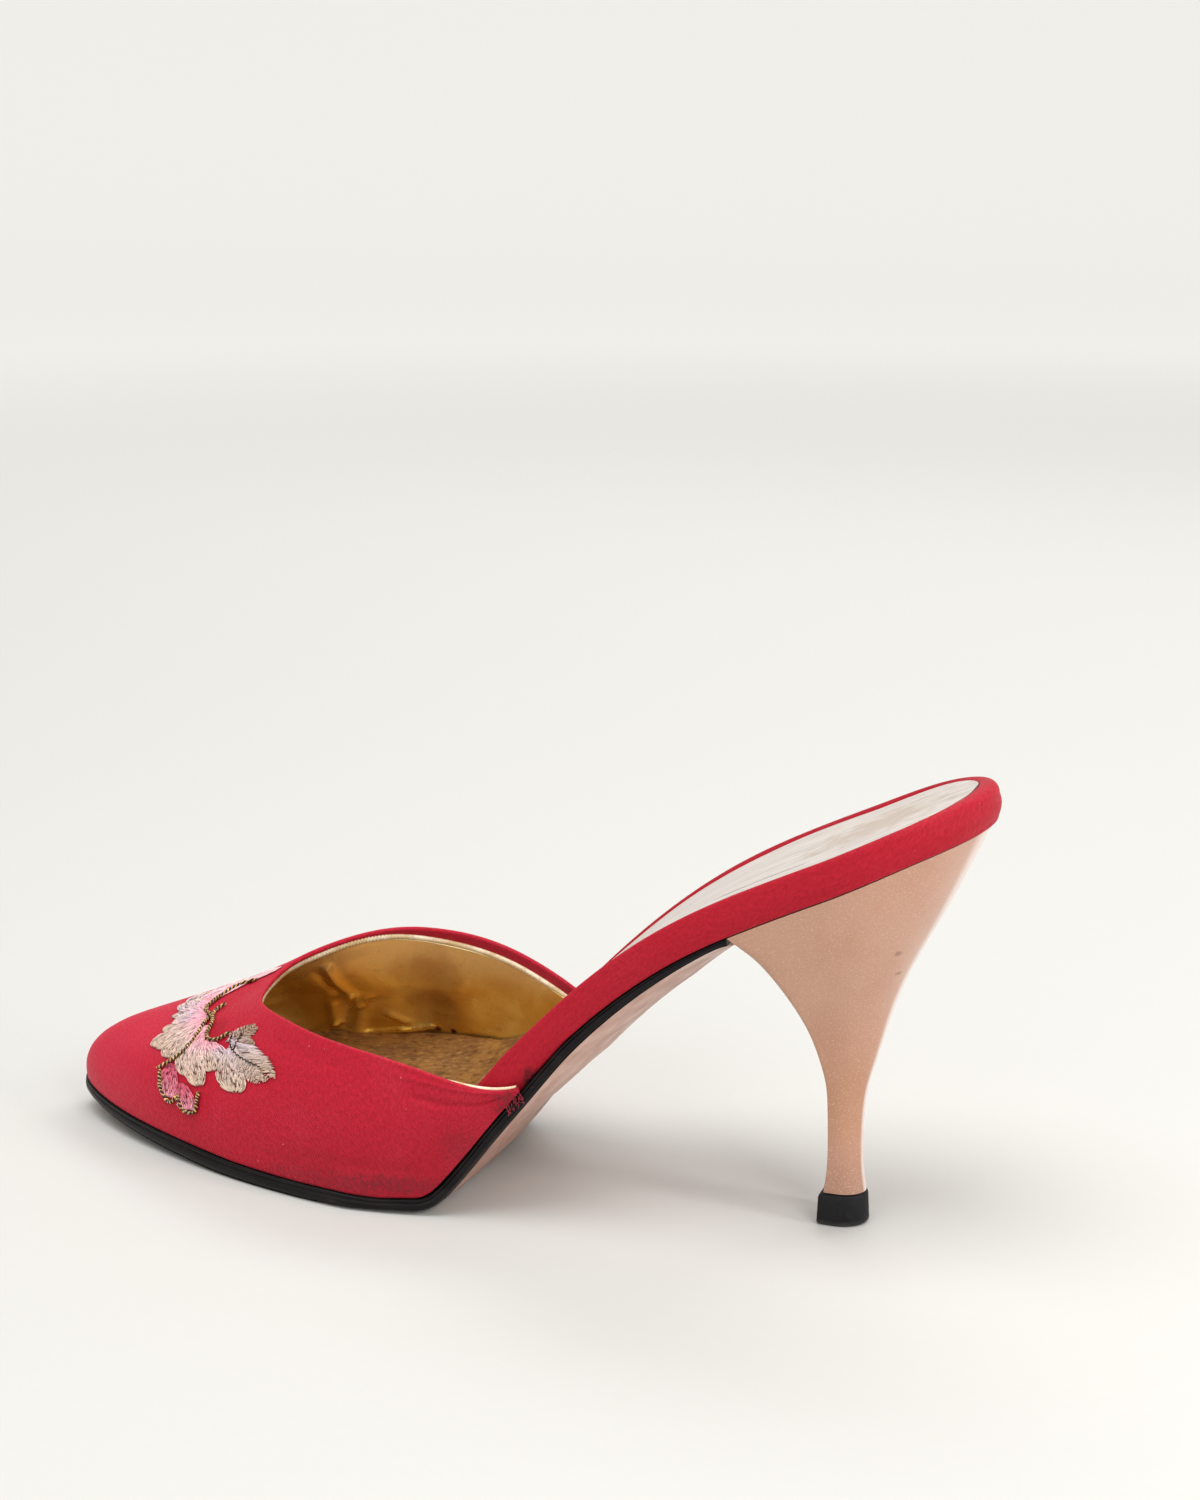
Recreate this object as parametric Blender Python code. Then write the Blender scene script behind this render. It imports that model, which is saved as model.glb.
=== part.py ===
"""Embroidered satin mule on a high heel, the left shoe of a pair.

The shoe is worked out in millimetres, with +X to the toe, +Y to the wearer's left (the outer side), +Z up,
the floor at Z = 0 and X = 0 at the back of the footbed. Meshes are set down in metres round the middle of
the shoe's own box.
"""

import math

import bmesh
import bpy
import numpy as np
from mathutils import Vector, geometry

# Driving sizes, in millimetres

MM = 0.001
GAP = 0.3
BOX_MIDDLE = (111.01, -1.97)

LAST_LENGTH = 219.6
TOE_SIDE = -4.5
SEAT_LENGTH = 30.0
SEAT_HALF_WIDTH = 26.2
SEAT_ROUNDNESS = 2.0
UPPER_WALL = 1.8
SOCK_THICKNESS = 0.8
RIM_WIDTH = 1.8
SOCK_BED_SLACK = 0.1
SOCK_SHORT_OF_TOE = 6.0
HEEL_INSET = 0.9
BREAST_X = 50.0
WING_END_X = 95.5

# How far the first and last station stand in from a round end, which leaves a short edge there, not a point.
ROUND_END = 0.02
ROUND_END_SHARE = 0.0004

# The widest place of each side of the last, and how the toe rounds off from there to the tip.
BALL = {
    "outer": {"x": 134.0, "half_width": 31.0, "sweep": 1.42, "blunt": 0.68},
    "inner": {"x": 145.0, "half_width": 34.9, "sweep": 1.90, "blunt": 0.75},
}

# Half-widths of the last behind the ball, from the heel seat through the waist.
WAIST_COLUMNS = ("x", "half_width")
WAIST = {
    "outer": [
        (30, 26.2),
        (50, 26.2),
        (66, 25.5),
        (85, 24.6),
        (98, 25.5),
        (110, 27.0),
        (122, 29.5),
        (134, 31.0),
    ],
    "inner": [
        (30, 26.2),
        (50, 25.8),
        (66, 24.4),
        (85, 22.2),
        (98, 22.4),
        (110, 24.6),
        (124, 29.6),
        (145, 34.9),
    ],
}

# Footbed: height of the foot side, and thickness square to it.
FOOTBED_COLUMNS = ("x", "top", "thickness")
FOOTBED = [
    (0, 99.6, 7.4),
    (12, 95.4, 7.4),
    (28, 88.2, 7.4),
    (46, 79.7, 7.4),
    (66, 68.3, 7.2),
    (86, 51.7, 6.9),
    (95, 42.4, 7.9),
    (106, 30.1, 8.6),
    (113, 21.6, 8.7),
    (119, 15.2, 8.8),
    (126, 12.4, 8.8),
    (134, 12.4, 8.6),
    (142, 12.4, 8.4),
    (166, 12.4, 8.0),
    (187, 12.4, 6.8),
    (205, 12.2, 5.6),
    (222, 12.8, 4.6),
]

# Inside the vamp the padded foot side is dished: its edges rise above its middle, most at the arch on the
# inner side, and draw in from the vamp's wall.
DISH_COLUMNS = ("x", "outer_rise", "inner_rise", "draw_in")
DISH = [
    (94, 0.0, 0.0, 0.0),
    (106, 0.0, 0.0, 0.3),
    (114, 0.6, 3.4, 0.6),
    (120, 1.6, 6.2, 0.8),
    (126, 2.4, 7.0, 0.8),
    (140, 3.2, 5.0, 0.8),
    (150, 3.4, 3.8, 0.8),
    (176, 2.4, 2.4, 0.9),
    (200, 0.0, 0.0, 0.9),
]

# Profile of the footbed's wrapped edge, from its underside over the rolled rim to the bed of the sock. Each
# line of it stops a little short of the pointed toe, further the more it is inset.
FOOTBED_EDGE_COLUMNS = ("measured_from", "height", "inset", "short_of_toe")
FOOTBED_EDGE = [
    ("under", 0.0, 0.7, 1.2),
    ("under", 0.7, 0.0, ROUND_END),
    ("top", -1.2, 0.0, ROUND_END),
    ("top", -0.1, 0.4, 0.6),
    ("top", 0.2, 1.1, 2.0),
    ("top", 0.0, RIM_WIDTH, 4.0),
    ("top", -SOCK_THICKNESS - GAP, RIM_WIDTH + SOCK_BED_SLACK, 5.4),
]

# Outsole: edge thickness, how far its edge stands out from the last, how far the lower edge is tucked in, and
# the swell of the underside, square to it.
OUTSOLE_COLUMNS = ("x", "thickness", "stand_out", "tuck", "swell")
OUTSOLE = [
    (50, 1.0, -0.9, 0.4, 3.0),
    (63, 1.7, -0.5, 0.5, 4.7),
    (84, 2.5, 0.0, 0.6, 4.9),
    (92, 2.8, 1.2, 0.8, 3.2),
    (99, 2.9, 2.1, 1.2, 1.7),
    (106, 2.9, 2.4, 1.6, 1.5),
    (114, 2.9, 2.5, 2.4, 0.6),
    (120, 2.9, 2.5, 2.8, 0.0),
    (132, 3.5, 2.5, 1.6, 0.0),
    (146, 3.9, 2.5, 0.7, 0.0),
    (175, 4.2, 2.5, 0.7, 0.0),
    (190, 3.8, 2.5, 0.7, 0.0),
    (222, 2.8, 2.5, 0.7, 0.0),
]

# Outsole edge above its tucked lower line: shares of its thickness, and inset.
OUTSOLE_EDGE_COLUMNS = ("share", "inset")
OUTSOLE_EDGE = [
    (0.3, 0.0),
    (0.8, 0.0),
    (1.0, 0.3),
]

# Heel: sections from its foot to its seat, each from a back point to a breast point on the middle plane.
HEEL_COLUMNS = ("back_x", "back_z", "breast_x", "breast_z", "half_width")
HEEL_POINTS = 18
HEEL_ROUND_SHARE = 0.92
HEEL = [
    (25.4, 7.3, 33.8, 7.3, 4.7),
    (26.2, 13.0, 33.2, 13.0, 4.5),
    (26.4, 20.0, 33.1, 19.6, 4.6),
    (25.8, 29.5, 33.2, 27.6, 5.2),
    (23.6, 38.2, 33.6, 34.0, 6.6),
    (20.5, 49.0, 35.1, 41.4, 9.2),
    (16.4, 59.5, 36.8, 48.0, 13.0),
    (10.8, 70.5, 39.8, 55.6, 18.0),
    (5.4, 81.6, 44.6, 63.4, 22.6),
]

# Top piece under the heel: a rounded D, a little larger at the floor.
TOP_PIECE_COLUMNS = ("z", "back_x", "breast_x", "half_width")
TOP_PIECE = [
    (0.0, 25.2, 34.6, 5.1),
    (0.7, 24.7, 35.0, 5.6),
    (6.2, 25.0, 34.8, 5.4),
    (7.0, 25.4, 34.5, 5.0),
]

# Vamp: a strip from the feather edge up to the topline, a row for each line up the strip. Round is -1 at the
# outer wing's end, 0 at the toe and 1 at the inner wing's end. Wall is the height of the lower handle, flare
# how far it stands out, crown the length of the upper handle along the topline's lean, in degrees. Where the
# strip stands nearly upright, the lean faces square to the last and not along the short way in.
FEATHER_SPREAD = 1.4
FACING_FROM = 3.0
FACING_OVER = 7.0
VAMP_COLUMNS = ("round", "top_x", "top_y", "top_z", "wall", "flare", "crown", "lean")
VAMP = [
    (-1.00, 95.5, 27.7, 31.4, 0.4, 0.1, 0.4, 88),
    (-0.93, 104.0, 29.0, 30.5, 3.0, 0.4, 3.0, 88),
    (-0.85, 118.0, 29.6, 33.4, 9.0, 1.2, 8.0, 80),
    (-0.72, 137.0, 26.8, 35.8, 13.0, 1.8, 11.0, 64),
    (-0.52, 154.0, 18.8, 36.4, 13.5, 1.8, 15.0, 46),
    (-0.30, 166.4, 8.8, 36.2, 14.6, 2.0, 22.0, 31),
    (-0.14, 169.6, 2.4, 36.6, 14.8, 2.2, 26.0, 26),
    (0.00, 170.2, -4.0, 37.7, 15.0, 2.2, 28.0, 23),
    (0.14, 169.0, -10.2, 39.6, 15.0, 2.2, 26.0, 26),
    (0.30, 164.4, -16.0, 42.1, 15.2, 2.2, 22.0, 35),
    (0.52, 152.0, -22.4, 46.2, 15.0, 2.0, 17.0, 54),
    (0.72, 135.0, -26.4, 47.0, 15.0, 2.0, 14.0, 70),
    (0.85, 116.5, -26.6, 43.3, 12.0, 1.4, 11.0, 80),
    (0.93, 103.5, -26.0, 37.2, 4.0, 0.5, 4.0, 88),
    (1.00, 95.5, -24.8, 32.4, 0.4, 0.1, 0.4, 88),
]

# Embroidered flower: a row for each petal, lobe or stem, from its root to its tip in the vamp's own round and
# rise, with its width.
PETAL_COLUMNS = ("petal", "root_round", "root_rise", "tip_round", "tip_rise", "width")
PETALS = [
    ("broad petal low lobe", -0.200, 0.82, -0.286, 0.44, 7.4),
    ("broad petal high lobe", -0.190, 0.84, -0.120, 0.64, 8.0),
    ("broad petal back lobe", -0.190, 0.84, 0.010, 0.72, 8.6),
    ("broad petal crest", -0.190, 0.76, 0.110, 0.985, 8.0),
    ("centre petal first lobe", -0.225, 0.82, -0.405, 0.43, 7.0),
    ("centre petal second lobe", -0.290, 0.76, -0.458, 0.40, 6.6),
    ("centre petal third lobe", -0.330, 0.74, -0.480, 0.55, 6.6),
    ("leaf", -0.370, 0.79, -0.615, 0.645, 8.6),
    ("leaf upper lobe", -0.405, 0.74, -0.424, 0.890, 7.6),
    ("leaf lower lobe", -0.430, 0.74, -0.543, 0.450, 7.2),
    ("bud first lobe", -0.335, 0.50, -0.392, 0.225, 6.0),
    ("bud second lobe", -0.370, 0.50, -0.455, 0.190, 6.4),
    ("stem low", -0.175, 0.83, -0.326, 0.375, 2.8),
    ("stem high", -0.200, 0.78, 0.030, 0.955, 2.6),
]
PETAL_POINTS = 9
PETAL_FULLNESS = 0.6
THREAD_LIFT = 0.35
THREAD_DEPTH = 0.6
FLOWER_SCALE = (85.0, 52.0)

STATIONS = 54
BED_RUNGS = 4
SOLE_RUNGS = 6
OUTLINE_POINTS = 600
VAMP_LINES = 72
VAMP_RISE = 16

SATIN_RED = (0.52, 0.018, 0.040)
SOLE_BLACK = (0.012, 0.012, 0.014)
HEEL_TAN = (0.50, 0.27, 0.16)
SOCK_GOLD = (0.55, 0.42, 0.22)
THREAD_CREAM = (0.62, 0.44, 0.38)


# Curves through the tables


def column(table, columns, name):
    """One named column of a table as an array."""
    return np.array([row[columns.index(name)] for row in table], float)


def smooth(at, knots, values):
    """A natural cubic spline through (knots, values), read at the places in at."""
    at = np.asarray(at, float)
    step = np.diff(knots)
    slope = np.diff(values) / step
    count = len(knots)
    matrix = np.eye(count)
    right = np.zeros(count)
    for i in range(1, count - 1):
        matrix[i, i - 1 : i + 2] = step[i - 1], 2 * (step[i - 1] + step[i]), step[i]
        right[i] = 6 * (slope[i] - slope[i - 1])
    bend = np.linalg.solve(matrix, right)
    i = np.clip(np.searchsorted(knots, at) - 1, 0, count - 2)
    a = (knots[i + 1] - at) / step[i]
    b = 1 - a
    cubic = ((a**3 - a) * bend[i] + (b**3 - b) * bend[i + 1]) * step[i] ** 2 / 6
    return a * values[i] + b * values[i + 1] + cubic


def footbed_top(x):
    return smooth(x, column(FOOTBED, FOOTBED_COLUMNS, "x"), column(FOOTBED, FOOTBED_COLUMNS, "top"))


def dish(x, name):
    return np.interp(x, column(DISH, DISH_COLUMNS, "x"), column(DISH, DISH_COLUMNS, name))


def dish_depth(x):
    """How far the middle of the footbed lies below the line between its edges."""
    return (dish(x, "outer_rise") + dish(x, "inner_rise")) / 2


def steepness(x):
    """Length of the footbed's profile per millimetre of X."""
    reach = 0.05
    slope = (footbed_top(x + reach) - footbed_top(x - reach)) / (2 * reach)
    return np.sqrt(1 + slope**2)


def footbed_under(x):
    """Height of the footbed's underside, which is also the feather edge of the vamp."""
    thickness = np.interp(
        x, column(FOOTBED, FOOTBED_COLUMNS, "x"), column(FOOTBED, FOOTBED_COLUMNS, "thickness")
    )
    return footbed_top(x) - thickness * steepness(x)


def outsole_size(x, name):
    return np.interp(x, column(OUTSOLE, OUTSOLE_COLUMNS, "x"), column(OUTSOLE, OUTSOLE_COLUMNS, name))


def outsole_under(x):
    """Height of the outsole's lower edge, flat on the floor under the ball."""
    under = footbed_under(x) - GAP - outsole_size(x, "thickness") * steepness(x)
    return np.maximum(under, 0.0)


def last_half_width(x, side):
    """Half-width of the last: a rounded seat, a waist through its table, and a toe swept to the tip."""
    x = np.asarray(x, float)
    ball = BALL[side]
    seat_share = np.clip(1 - x / SEAT_LENGTH, 0, 1)
    seat = SEAT_HALF_WIDTH * (1 - seat_share**SEAT_ROUNDNESS) ** (1 / SEAT_ROUNDNESS)
    waist = smooth(
        np.clip(x, SEAT_LENGTH, ball["x"]),
        column(WAIST[side], WAIST_COLUMNS, "x"),
        column(WAIST[side], WAIST_COLUMNS, "half_width"),
    )
    tip = TOE_SIDE if side == "outer" else -TOE_SIDE
    toe_share = np.clip((x - ball["x"]) / (LAST_LENGTH - ball["x"]), 0, 1)
    toe = tip + (ball["half_width"] - tip) * (1 - toe_share ** ball["sweep"]) ** ball["blunt"]
    return np.where(x < SEAT_LENGTH, seat, np.where(x > ball["x"], toe, waist))


def stations(first, last, count, open_start=False):
    """X places, closer together towards round ends."""
    turn = np.linspace(0 if not open_start else math.pi / 2, math.pi, count)
    share = (1 - np.cos(turn)) / 2
    share = (share - share[0]) / (share[-1] - share[0])
    return first + (last - first) * share


def outline(places, stand_out):
    """Both sides of the last in plan, moved outwards square to the outline. Returns two (count, 2) arrays."""
    sides = []
    stand_out = np.broadcast_to(np.asarray(stand_out, float), places.shape)
    for side, sign in (("outer", 1), ("inner", -1)):
        points = np.stack([places, sign * last_half_width(places, side)], axis=1)
        along = np.gradient(points, axis=0)
        along /= np.linalg.norm(along, axis=1)[:, None]
        outward = np.stack([-along[:, 1], along[:, 0]], axis=1) * sign
        sides.append(points + outward * stand_out[:, None])
    return sides


# Mesh helpers


def to_metres(points):
    """Millimetres in the modelling frame to metres round the middle of the shoe's box."""
    points = np.asarray(points, float)
    return (points - np.array([*BOX_MIDDLE, 0.0])) * MM


def finish_mesh(bm, name, colour, roughness, metallic=0.0, sharp_degrees=35):
    """Turns a closed bmesh into an object with its own material."""
    bmesh.ops.remove_doubles(bm, verts=bm.verts, dist=1e-7)
    bmesh.ops.recalc_face_normals(bm, faces=bm.faces)
    mesh = bpy.data.meshes.new(name)
    bm.to_mesh(mesh)
    bm.free()
    mesh.shade_smooth()
    mesh.set_sharp_from_angle(angle=math.radians(sharp_degrees))
    material = bpy.data.materials.new(name)
    material.use_nodes = True
    shader = material.node_tree.nodes["Principled BSDF"]
    shader.inputs["Base Color"].default_value = (*colour, 1)
    shader.inputs["Roughness"].default_value = roughness
    shader.inputs["Metallic"].default_value = metallic
    mesh.materials.append(material)
    obj = bpy.data.objects.new(name, mesh)
    bpy.context.scene.collection.objects.link(obj)
    return obj


def rung(bm, outer, inner, across, drop=0.0):
    """Points across a loop from its outer to its inner side, dropped in a curve where asked."""
    row = [outer]
    for k in range(1, across):
        share = k / across
        point = outer.co.lerp(inner.co, share)
        point.z -= drop * MM * (1 - (2 * share - 1) ** 2)
        row.append(bm.verts.new(point))
    return row + [inner]


def join_rows(bm, first, second):
    """A strip of faces between two rows with the same number of points."""
    for k in range(len(first) - 1):
        bm.faces.new((first[k], first[k + 1], second[k + 1], second[k]))


def stack_solid(bm, loops, across=2, swell=None, sag=None):
    """A closed solid from loops laid one over another.

    Each loop is a pair of (count, 3) arrays in millimetres: its outer and inner side, back to front. The
    faces that close the stack drop in the middle where asked: the lowest by swell, the highest by sag.
    """
    sides = []
    ends = []
    caps = {0: swell, len(loops) - 1: sag}
    for position, pair in enumerate(loops):
        outer, inner = ([bm.verts.new(p) for p in to_metres(side)] for side in pair)
        if position in caps:
            drop = np.zeros(len(outer)) if caps[position] is None else caps[position]
            rungs = [rung(bm, a, b, across, d) for a, b, d in zip(outer, inner, drop)]
            for first, second in zip(rungs, rungs[1:]):
                join_rows(bm, first, second)
            ends.append((rungs[0], rungs[-1]))
        else:
            ends.append((rung(bm, outer[0], inner[0], across), rung(bm, outer[-1], inner[-1], across)))
        sides.append((outer, inner))
    for lower, upper in ((sides, sides[1:]), (ends, ends[1:])):
        for pair_a, pair_b in zip(lower, upper):
            join_rows(bm, pair_a[0], pair_b[0])
            join_rows(bm, pair_a[1], pair_b[1])


def level(places, stand_out, outer_heights, inner_heights=None):
    """One loop of a stack: the last's outline moved outwards, at the heights of its stations."""
    outer, inner = outline(places, stand_out)
    if inner_heights is None:
        inner_heights = outer_heights
    return np.column_stack([outer, outer_heights]), np.column_stack([inner, inner_heights])


def dished_level(places, inset, heights):
    """A loop that follows the dished edges of the foot side."""
    return level(
        places,
        -inset - dish(places, "draw_in"),
        heights + dish(places, "outer_rise"),
        heights + dish(places, "inner_rise"),
    )


# Pieces


def build_outsole():
    """Leather outsole from the heel breast to the toe, thin at the waist and flat under the ball."""
    places = stations(BREAST_X + GAP, LAST_LENGTH - ROUND_END, STATIONS, open_start=True)
    stand_out = outsole_size(places, "stand_out")
    under = outsole_under(places)
    depth = footbed_under(places) - GAP - under
    loops = [level(places, stand_out - outsole_size(places, "tuck"), under)]
    for share, inset in OUTSOLE_EDGE:
        loops.append(level(places, stand_out - inset, under + share * depth))
    swell = np.minimum(outsole_size(places, "swell") * steepness(places), under)
    bm = bmesh.new()
    stack_solid(bm, loops, across=SOLE_RUNGS, swell=swell)
    return finish_mesh(bm, "outsole", SOLE_BLACK, 0.45)


def build_footbed():
    """Footbed board wrapped in satin: a band with a rolled rim, and a shallow bed for the sock inside it."""
    faces = {"top": footbed_top, "under": footbed_under}
    loops = []
    for side, height, inset, short_of_toe in FOOTBED_EDGE:
        places = stations(ROUND_END, LAST_LENGTH - short_of_toe, STATIONS)
        heights = faces[side](places) + height
        if side == "top":
            loops.append(dished_level(places, inset, heights))
        else:
            loops.append(level(places, -inset, heights))
    bm = bmesh.new()
    stack_solid(bm, loops, across=BED_RUNGS, sag=dish_depth(places))
    return finish_mesh(bm, "footbed", SATIN_RED, 0.6)


def build_sock():
    """Thin leather sock let into the footbed from heel to toe, its face level with the rim."""
    places = stations(ROUND_END, LAST_LENGTH - SOCK_SHORT_OF_TOE, STATIONS)
    top = footbed_top(places)
    inset = RIM_WIDTH + SOCK_BED_SLACK + GAP
    loops = [dished_level(places, inset, top - SOCK_THICKNESS), dished_level(places, inset, top)]
    depth = dish_depth(places)
    bm = bmesh.new()
    stack_solid(bm, loops, across=BED_RUNGS, swell=depth, sag=depth)
    return finish_mesh(bm, "sock", SOCK_GOLD, 0.4, 0.3)


def heel_section(back, breast, half_width):
    """A D-shaped loop from a back point to a breast point, both (x, z), with a rounded back."""
    share = (1 - np.cos(np.linspace(0, math.pi, HEEL_POINTS))) / 2
    share[0] = ROUND_END_SHARE
    length = breast[0] - back[0]
    round_part = min(length * HEEL_ROUND_SHARE, half_width * SEAT_LENGTH / SEAT_HALF_WIDTH)
    x = back[0] + length * share
    z = back[1] + (breast[1] - back[1]) * share
    inward = np.clip(1 - (x - back[0]) / round_part, 0, 1)
    y = half_width * np.sqrt(1 - inward**2)
    return np.column_stack([x, y, z]), np.column_stack([x, -y, z])


def build_heel():
    """Lacquered heel, cupped under the seat, with a flat breast, tapering to the top piece."""
    table = {name: column(HEEL, HEEL_COLUMNS, name) for name in HEEL_COLUMNS}
    rise = np.arange(len(HEEL), dtype=float)
    levels = np.linspace(0, rise[-1], 2 * len(HEEL) - 1)
    row = {name: smooth(levels, rise, values) for name, values in table.items()}
    loops = [
        heel_section(
            (row["back_x"][i], row["back_z"][i]),
            (row["breast_x"][i], row["breast_z"][i]),
            row["half_width"][i],
        )
        for i in range(len(levels))
    ]
    places = stations(ROUND_END, BREAST_X, HEEL_POINTS)
    loops.append(level(places, -HEEL_INSET, footbed_under(places) - GAP))
    bm = bmesh.new()
    stack_solid(bm, loops)
    return finish_mesh(bm, "heel", HEEL_TAN, 0.35)


def build_top_piece():
    """Rubber top piece under the heel, the heel's flat spot on the floor."""
    row = {name: column(TOP_PIECE, TOP_PIECE_COLUMNS, name) for name in TOP_PIECE_COLUMNS}
    loops = [
        heel_section((row["back_x"][i], z), (row["breast_x"][i], z), row["half_width"][i])
        for i, z in enumerate(row["z"])
    ]
    bm = bmesh.new()
    stack_solid(bm, loops)
    return finish_mesh(bm, "top_piece", SOLE_BLACK, 0.6)


def vamp_rows(turn):
    """Topline points and handle sizes for each place round the vamp."""
    knots = column(VAMP, VAMP_COLUMNS, "round")
    return {name: smooth(turn, knots, column(VAMP, VAMP_COLUMNS, name)) for name in VAMP_COLUMNS[1:]}


def feather(turn):
    """The line where the vamp meets the sole, with its outward direction in plan."""
    places = LAST_LENGTH - ROUND_END - (LAST_LENGTH - WING_END_X) * np.abs(turn) ** FEATHER_SPREAD
    stand_out = UPPER_WALL + GAP
    dense = stations(BREAST_X, LAST_LENGTH - ROUND_END, OUTLINE_POINTS, open_start=True)
    points = np.empty((len(turn), 3))
    outward = np.empty((len(turn), 3))
    for side, sign in (("outer", 1), ("inner", -1)):
        edge = outline(dense, stand_out)[0 if sign > 0 else 1]
        base = np.stack([dense, sign * last_half_width(dense, side)], axis=1)
        normal = (edge - base) / stand_out
        chosen = turn <= 0 if sign > 0 else turn > 0
        at = places[chosen]
        for axis in (0, 1):
            points[chosen, axis] = np.interp(at, dense, edge[:, axis])
            outward[chosen, axis] = np.interp(at, dense, normal[:, axis])
    points[:, 2] = footbed_under(np.minimum(points[:, 0], LAST_LENGTH))
    outward[:, 2] = 0
    outward /= np.linalg.norm(outward, axis=1)[:, None]
    return points, outward


def vamp_surface(turn, rise):
    """Outer surface of the vamp: at each place round it a cubic curve from feather edge to topline."""
    row = vamp_rows(turn)
    foot, outward = feather(turn)
    top = np.column_stack([row["top_x"], row["top_y"], row["top_z"]])
    up = np.array([0.0, 0.0, 1.0])
    lean = np.radians(row["lean"])
    inward = top - foot
    inward[:, 2] = 0
    reach = np.linalg.norm(inward, axis=1)
    share = np.clip((reach - FACING_FROM) / FACING_OVER, 0, 1)[:, None]
    facing = inward / np.maximum(reach, 1e-6)[:, None] * share - outward * (1 - share)
    facing /= np.linalg.norm(facing, axis=1)[:, None]
    low = foot + up * row["wall"][:, None] + outward * row["flare"][:, None]
    tangent = facing * np.cos(lean)[:, None] + up * np.sin(lean)[:, None]
    high = top - tangent * row["crown"][:, None]
    t = rise[None, :, None]
    return (
        foot[:, None] * (1 - t) ** 3
        + low[:, None] * 3 * t * (1 - t) ** 2
        + high[:, None] * 3 * t**2 * (1 - t)
        + top[:, None] * t**3
    )


def surface_normals(turn, rise):
    """Outward unit normals of the vamp at single places on it."""
    step = 1e-4
    normals = []
    for u, v in zip(turn, rise):
        here = vamp_surface(np.array([u - step, u + step]), np.array([v - step, v + step]))
        normal = np.cross(here[0, 1] - here[0, 0], here[1, 0] - here[0, 0])
        normals.append(normal / np.linalg.norm(normal))
    return np.array(normals)


def grid_normals(grid):
    """Outward unit normals of a grid that runs round the vamp and up it."""
    around = np.gradient(grid, axis=0)
    upward = np.gradient(grid, axis=1)
    normal = np.cross(upward, around)
    return normal / np.linalg.norm(normal, axis=2)[:, :, None]


def build_upper():
    """Satin vamp with its wings: one hollow wall, open at the throat, the back and underneath."""
    turn = np.linspace(-1, 1, VAMP_LINES + 1)
    rise = np.linspace(0, 1, VAMP_RISE + 1)
    outside = vamp_surface(turn, rise)
    inside = outside - grid_normals(outside) * UPPER_WALL
    inside[:, 0, 2] = outside[:, 0, 2]
    bm = bmesh.new()
    skins = []
    for skin in (outside, inside):
        skins.append([[bm.verts.new(p) for p in to_metres(line)] for line in skin])
    out, inn = skins
    for i in range(VAMP_LINES):
        for k in range(VAMP_RISE):
            for skin in skins:
                bm.faces.new((skin[i][k], skin[i + 1][k], skin[i + 1][k + 1], skin[i][k + 1]))
        for k in (0, VAMP_RISE):
            bm.faces.new((out[i][k], out[i + 1][k], inn[i + 1][k], inn[i][k]))
    for i in (0, VAMP_LINES):
        for k in range(VAMP_RISE):
            bm.faces.new((out[i][k], out[i][k + 1], inn[i][k + 1], inn[i][k]))
    return finish_mesh(bm, "upper", SATIN_RED, 0.6)


def petal_outline(root, tip, width):
    """A petal as a closed outline with a narrow root and a round tip, and the points along its middle."""
    along = (1 - np.cos(np.linspace(0, math.pi, PETAL_POINTS))) / 2
    half = PETAL_FULLNESS * width * np.sqrt(along) * np.sqrt(1 - along**4)
    axis = tip - root
    across = np.array([-axis[1], axis[0]]) / np.linalg.norm(axis)
    middle = root + along[:, None] * axis
    outer = middle + half[:, None] * across
    inner = middle - half[:, None] * across
    return np.vstack([outer, inner[-2:0:-1]]), middle[1:-1]


def build_embroidery():
    """Embroidered flower: one raised pad of thread that follows the vamp a little above its satin."""
    scale = np.array(FLOWER_SCALE)
    points = []
    faces = []
    for _, root_round, root_rise, tip_round, tip_rise, width in PETALS:
        root = np.array([root_round, root_rise]) * scale
        tip = np.array([tip_round, tip_rise]) * scale
        edge, middle = petal_outline(root, tip, width)
        faces.append(list(range(len(points), len(points) + len(edge))))
        points.extend(edge)
        points.extend(middle)
    flat, _, triangles, *_ = geometry.delaunay_2d_cdt([Vector(p) for p in points], [], faces, 1, 0.05)
    flat = np.array([tuple(p) for p in flat]) / scale
    flat[:, 1] = np.minimum(flat[:, 1], 1.0)
    ground = np.array([vamp_surface(np.array([u]), np.array([v]))[0, 0] for u, v in flat])
    normal = surface_normals(flat[:, 0], np.minimum(flat[:, 1], 0.999))
    bm = bmesh.new()
    low = [bm.verts.new(p) for p in to_metres(ground + normal * THREAD_LIFT)]
    high = [bm.verts.new(p) for p in to_metres(ground + normal * (THREAD_LIFT + THREAD_DEPTH))]
    sides = {}
    for corners in triangles:
        bm.faces.new([high[i] for i in corners])
        bm.faces.new([low[i] for i in reversed(corners)])
        for a, b in zip(corners, corners[1:] + corners[:1]):
            sides[(a, b)] = (b, a)
    for (a, b), back in sides.items():
        if back not in sides:
            bm.faces.new((low[a], low[b], high[b], high[a]))
    return finish_mesh(bm, "embroidery", THREAD_CREAM, 0.7)


def main():
    for old in list(bpy.data.objects):
        bpy.data.objects.remove(old)
    build_top_piece()
    build_heel()
    build_outsole()
    build_footbed()
    build_sock()
    build_upper()
    build_embroidery()


main()
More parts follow.
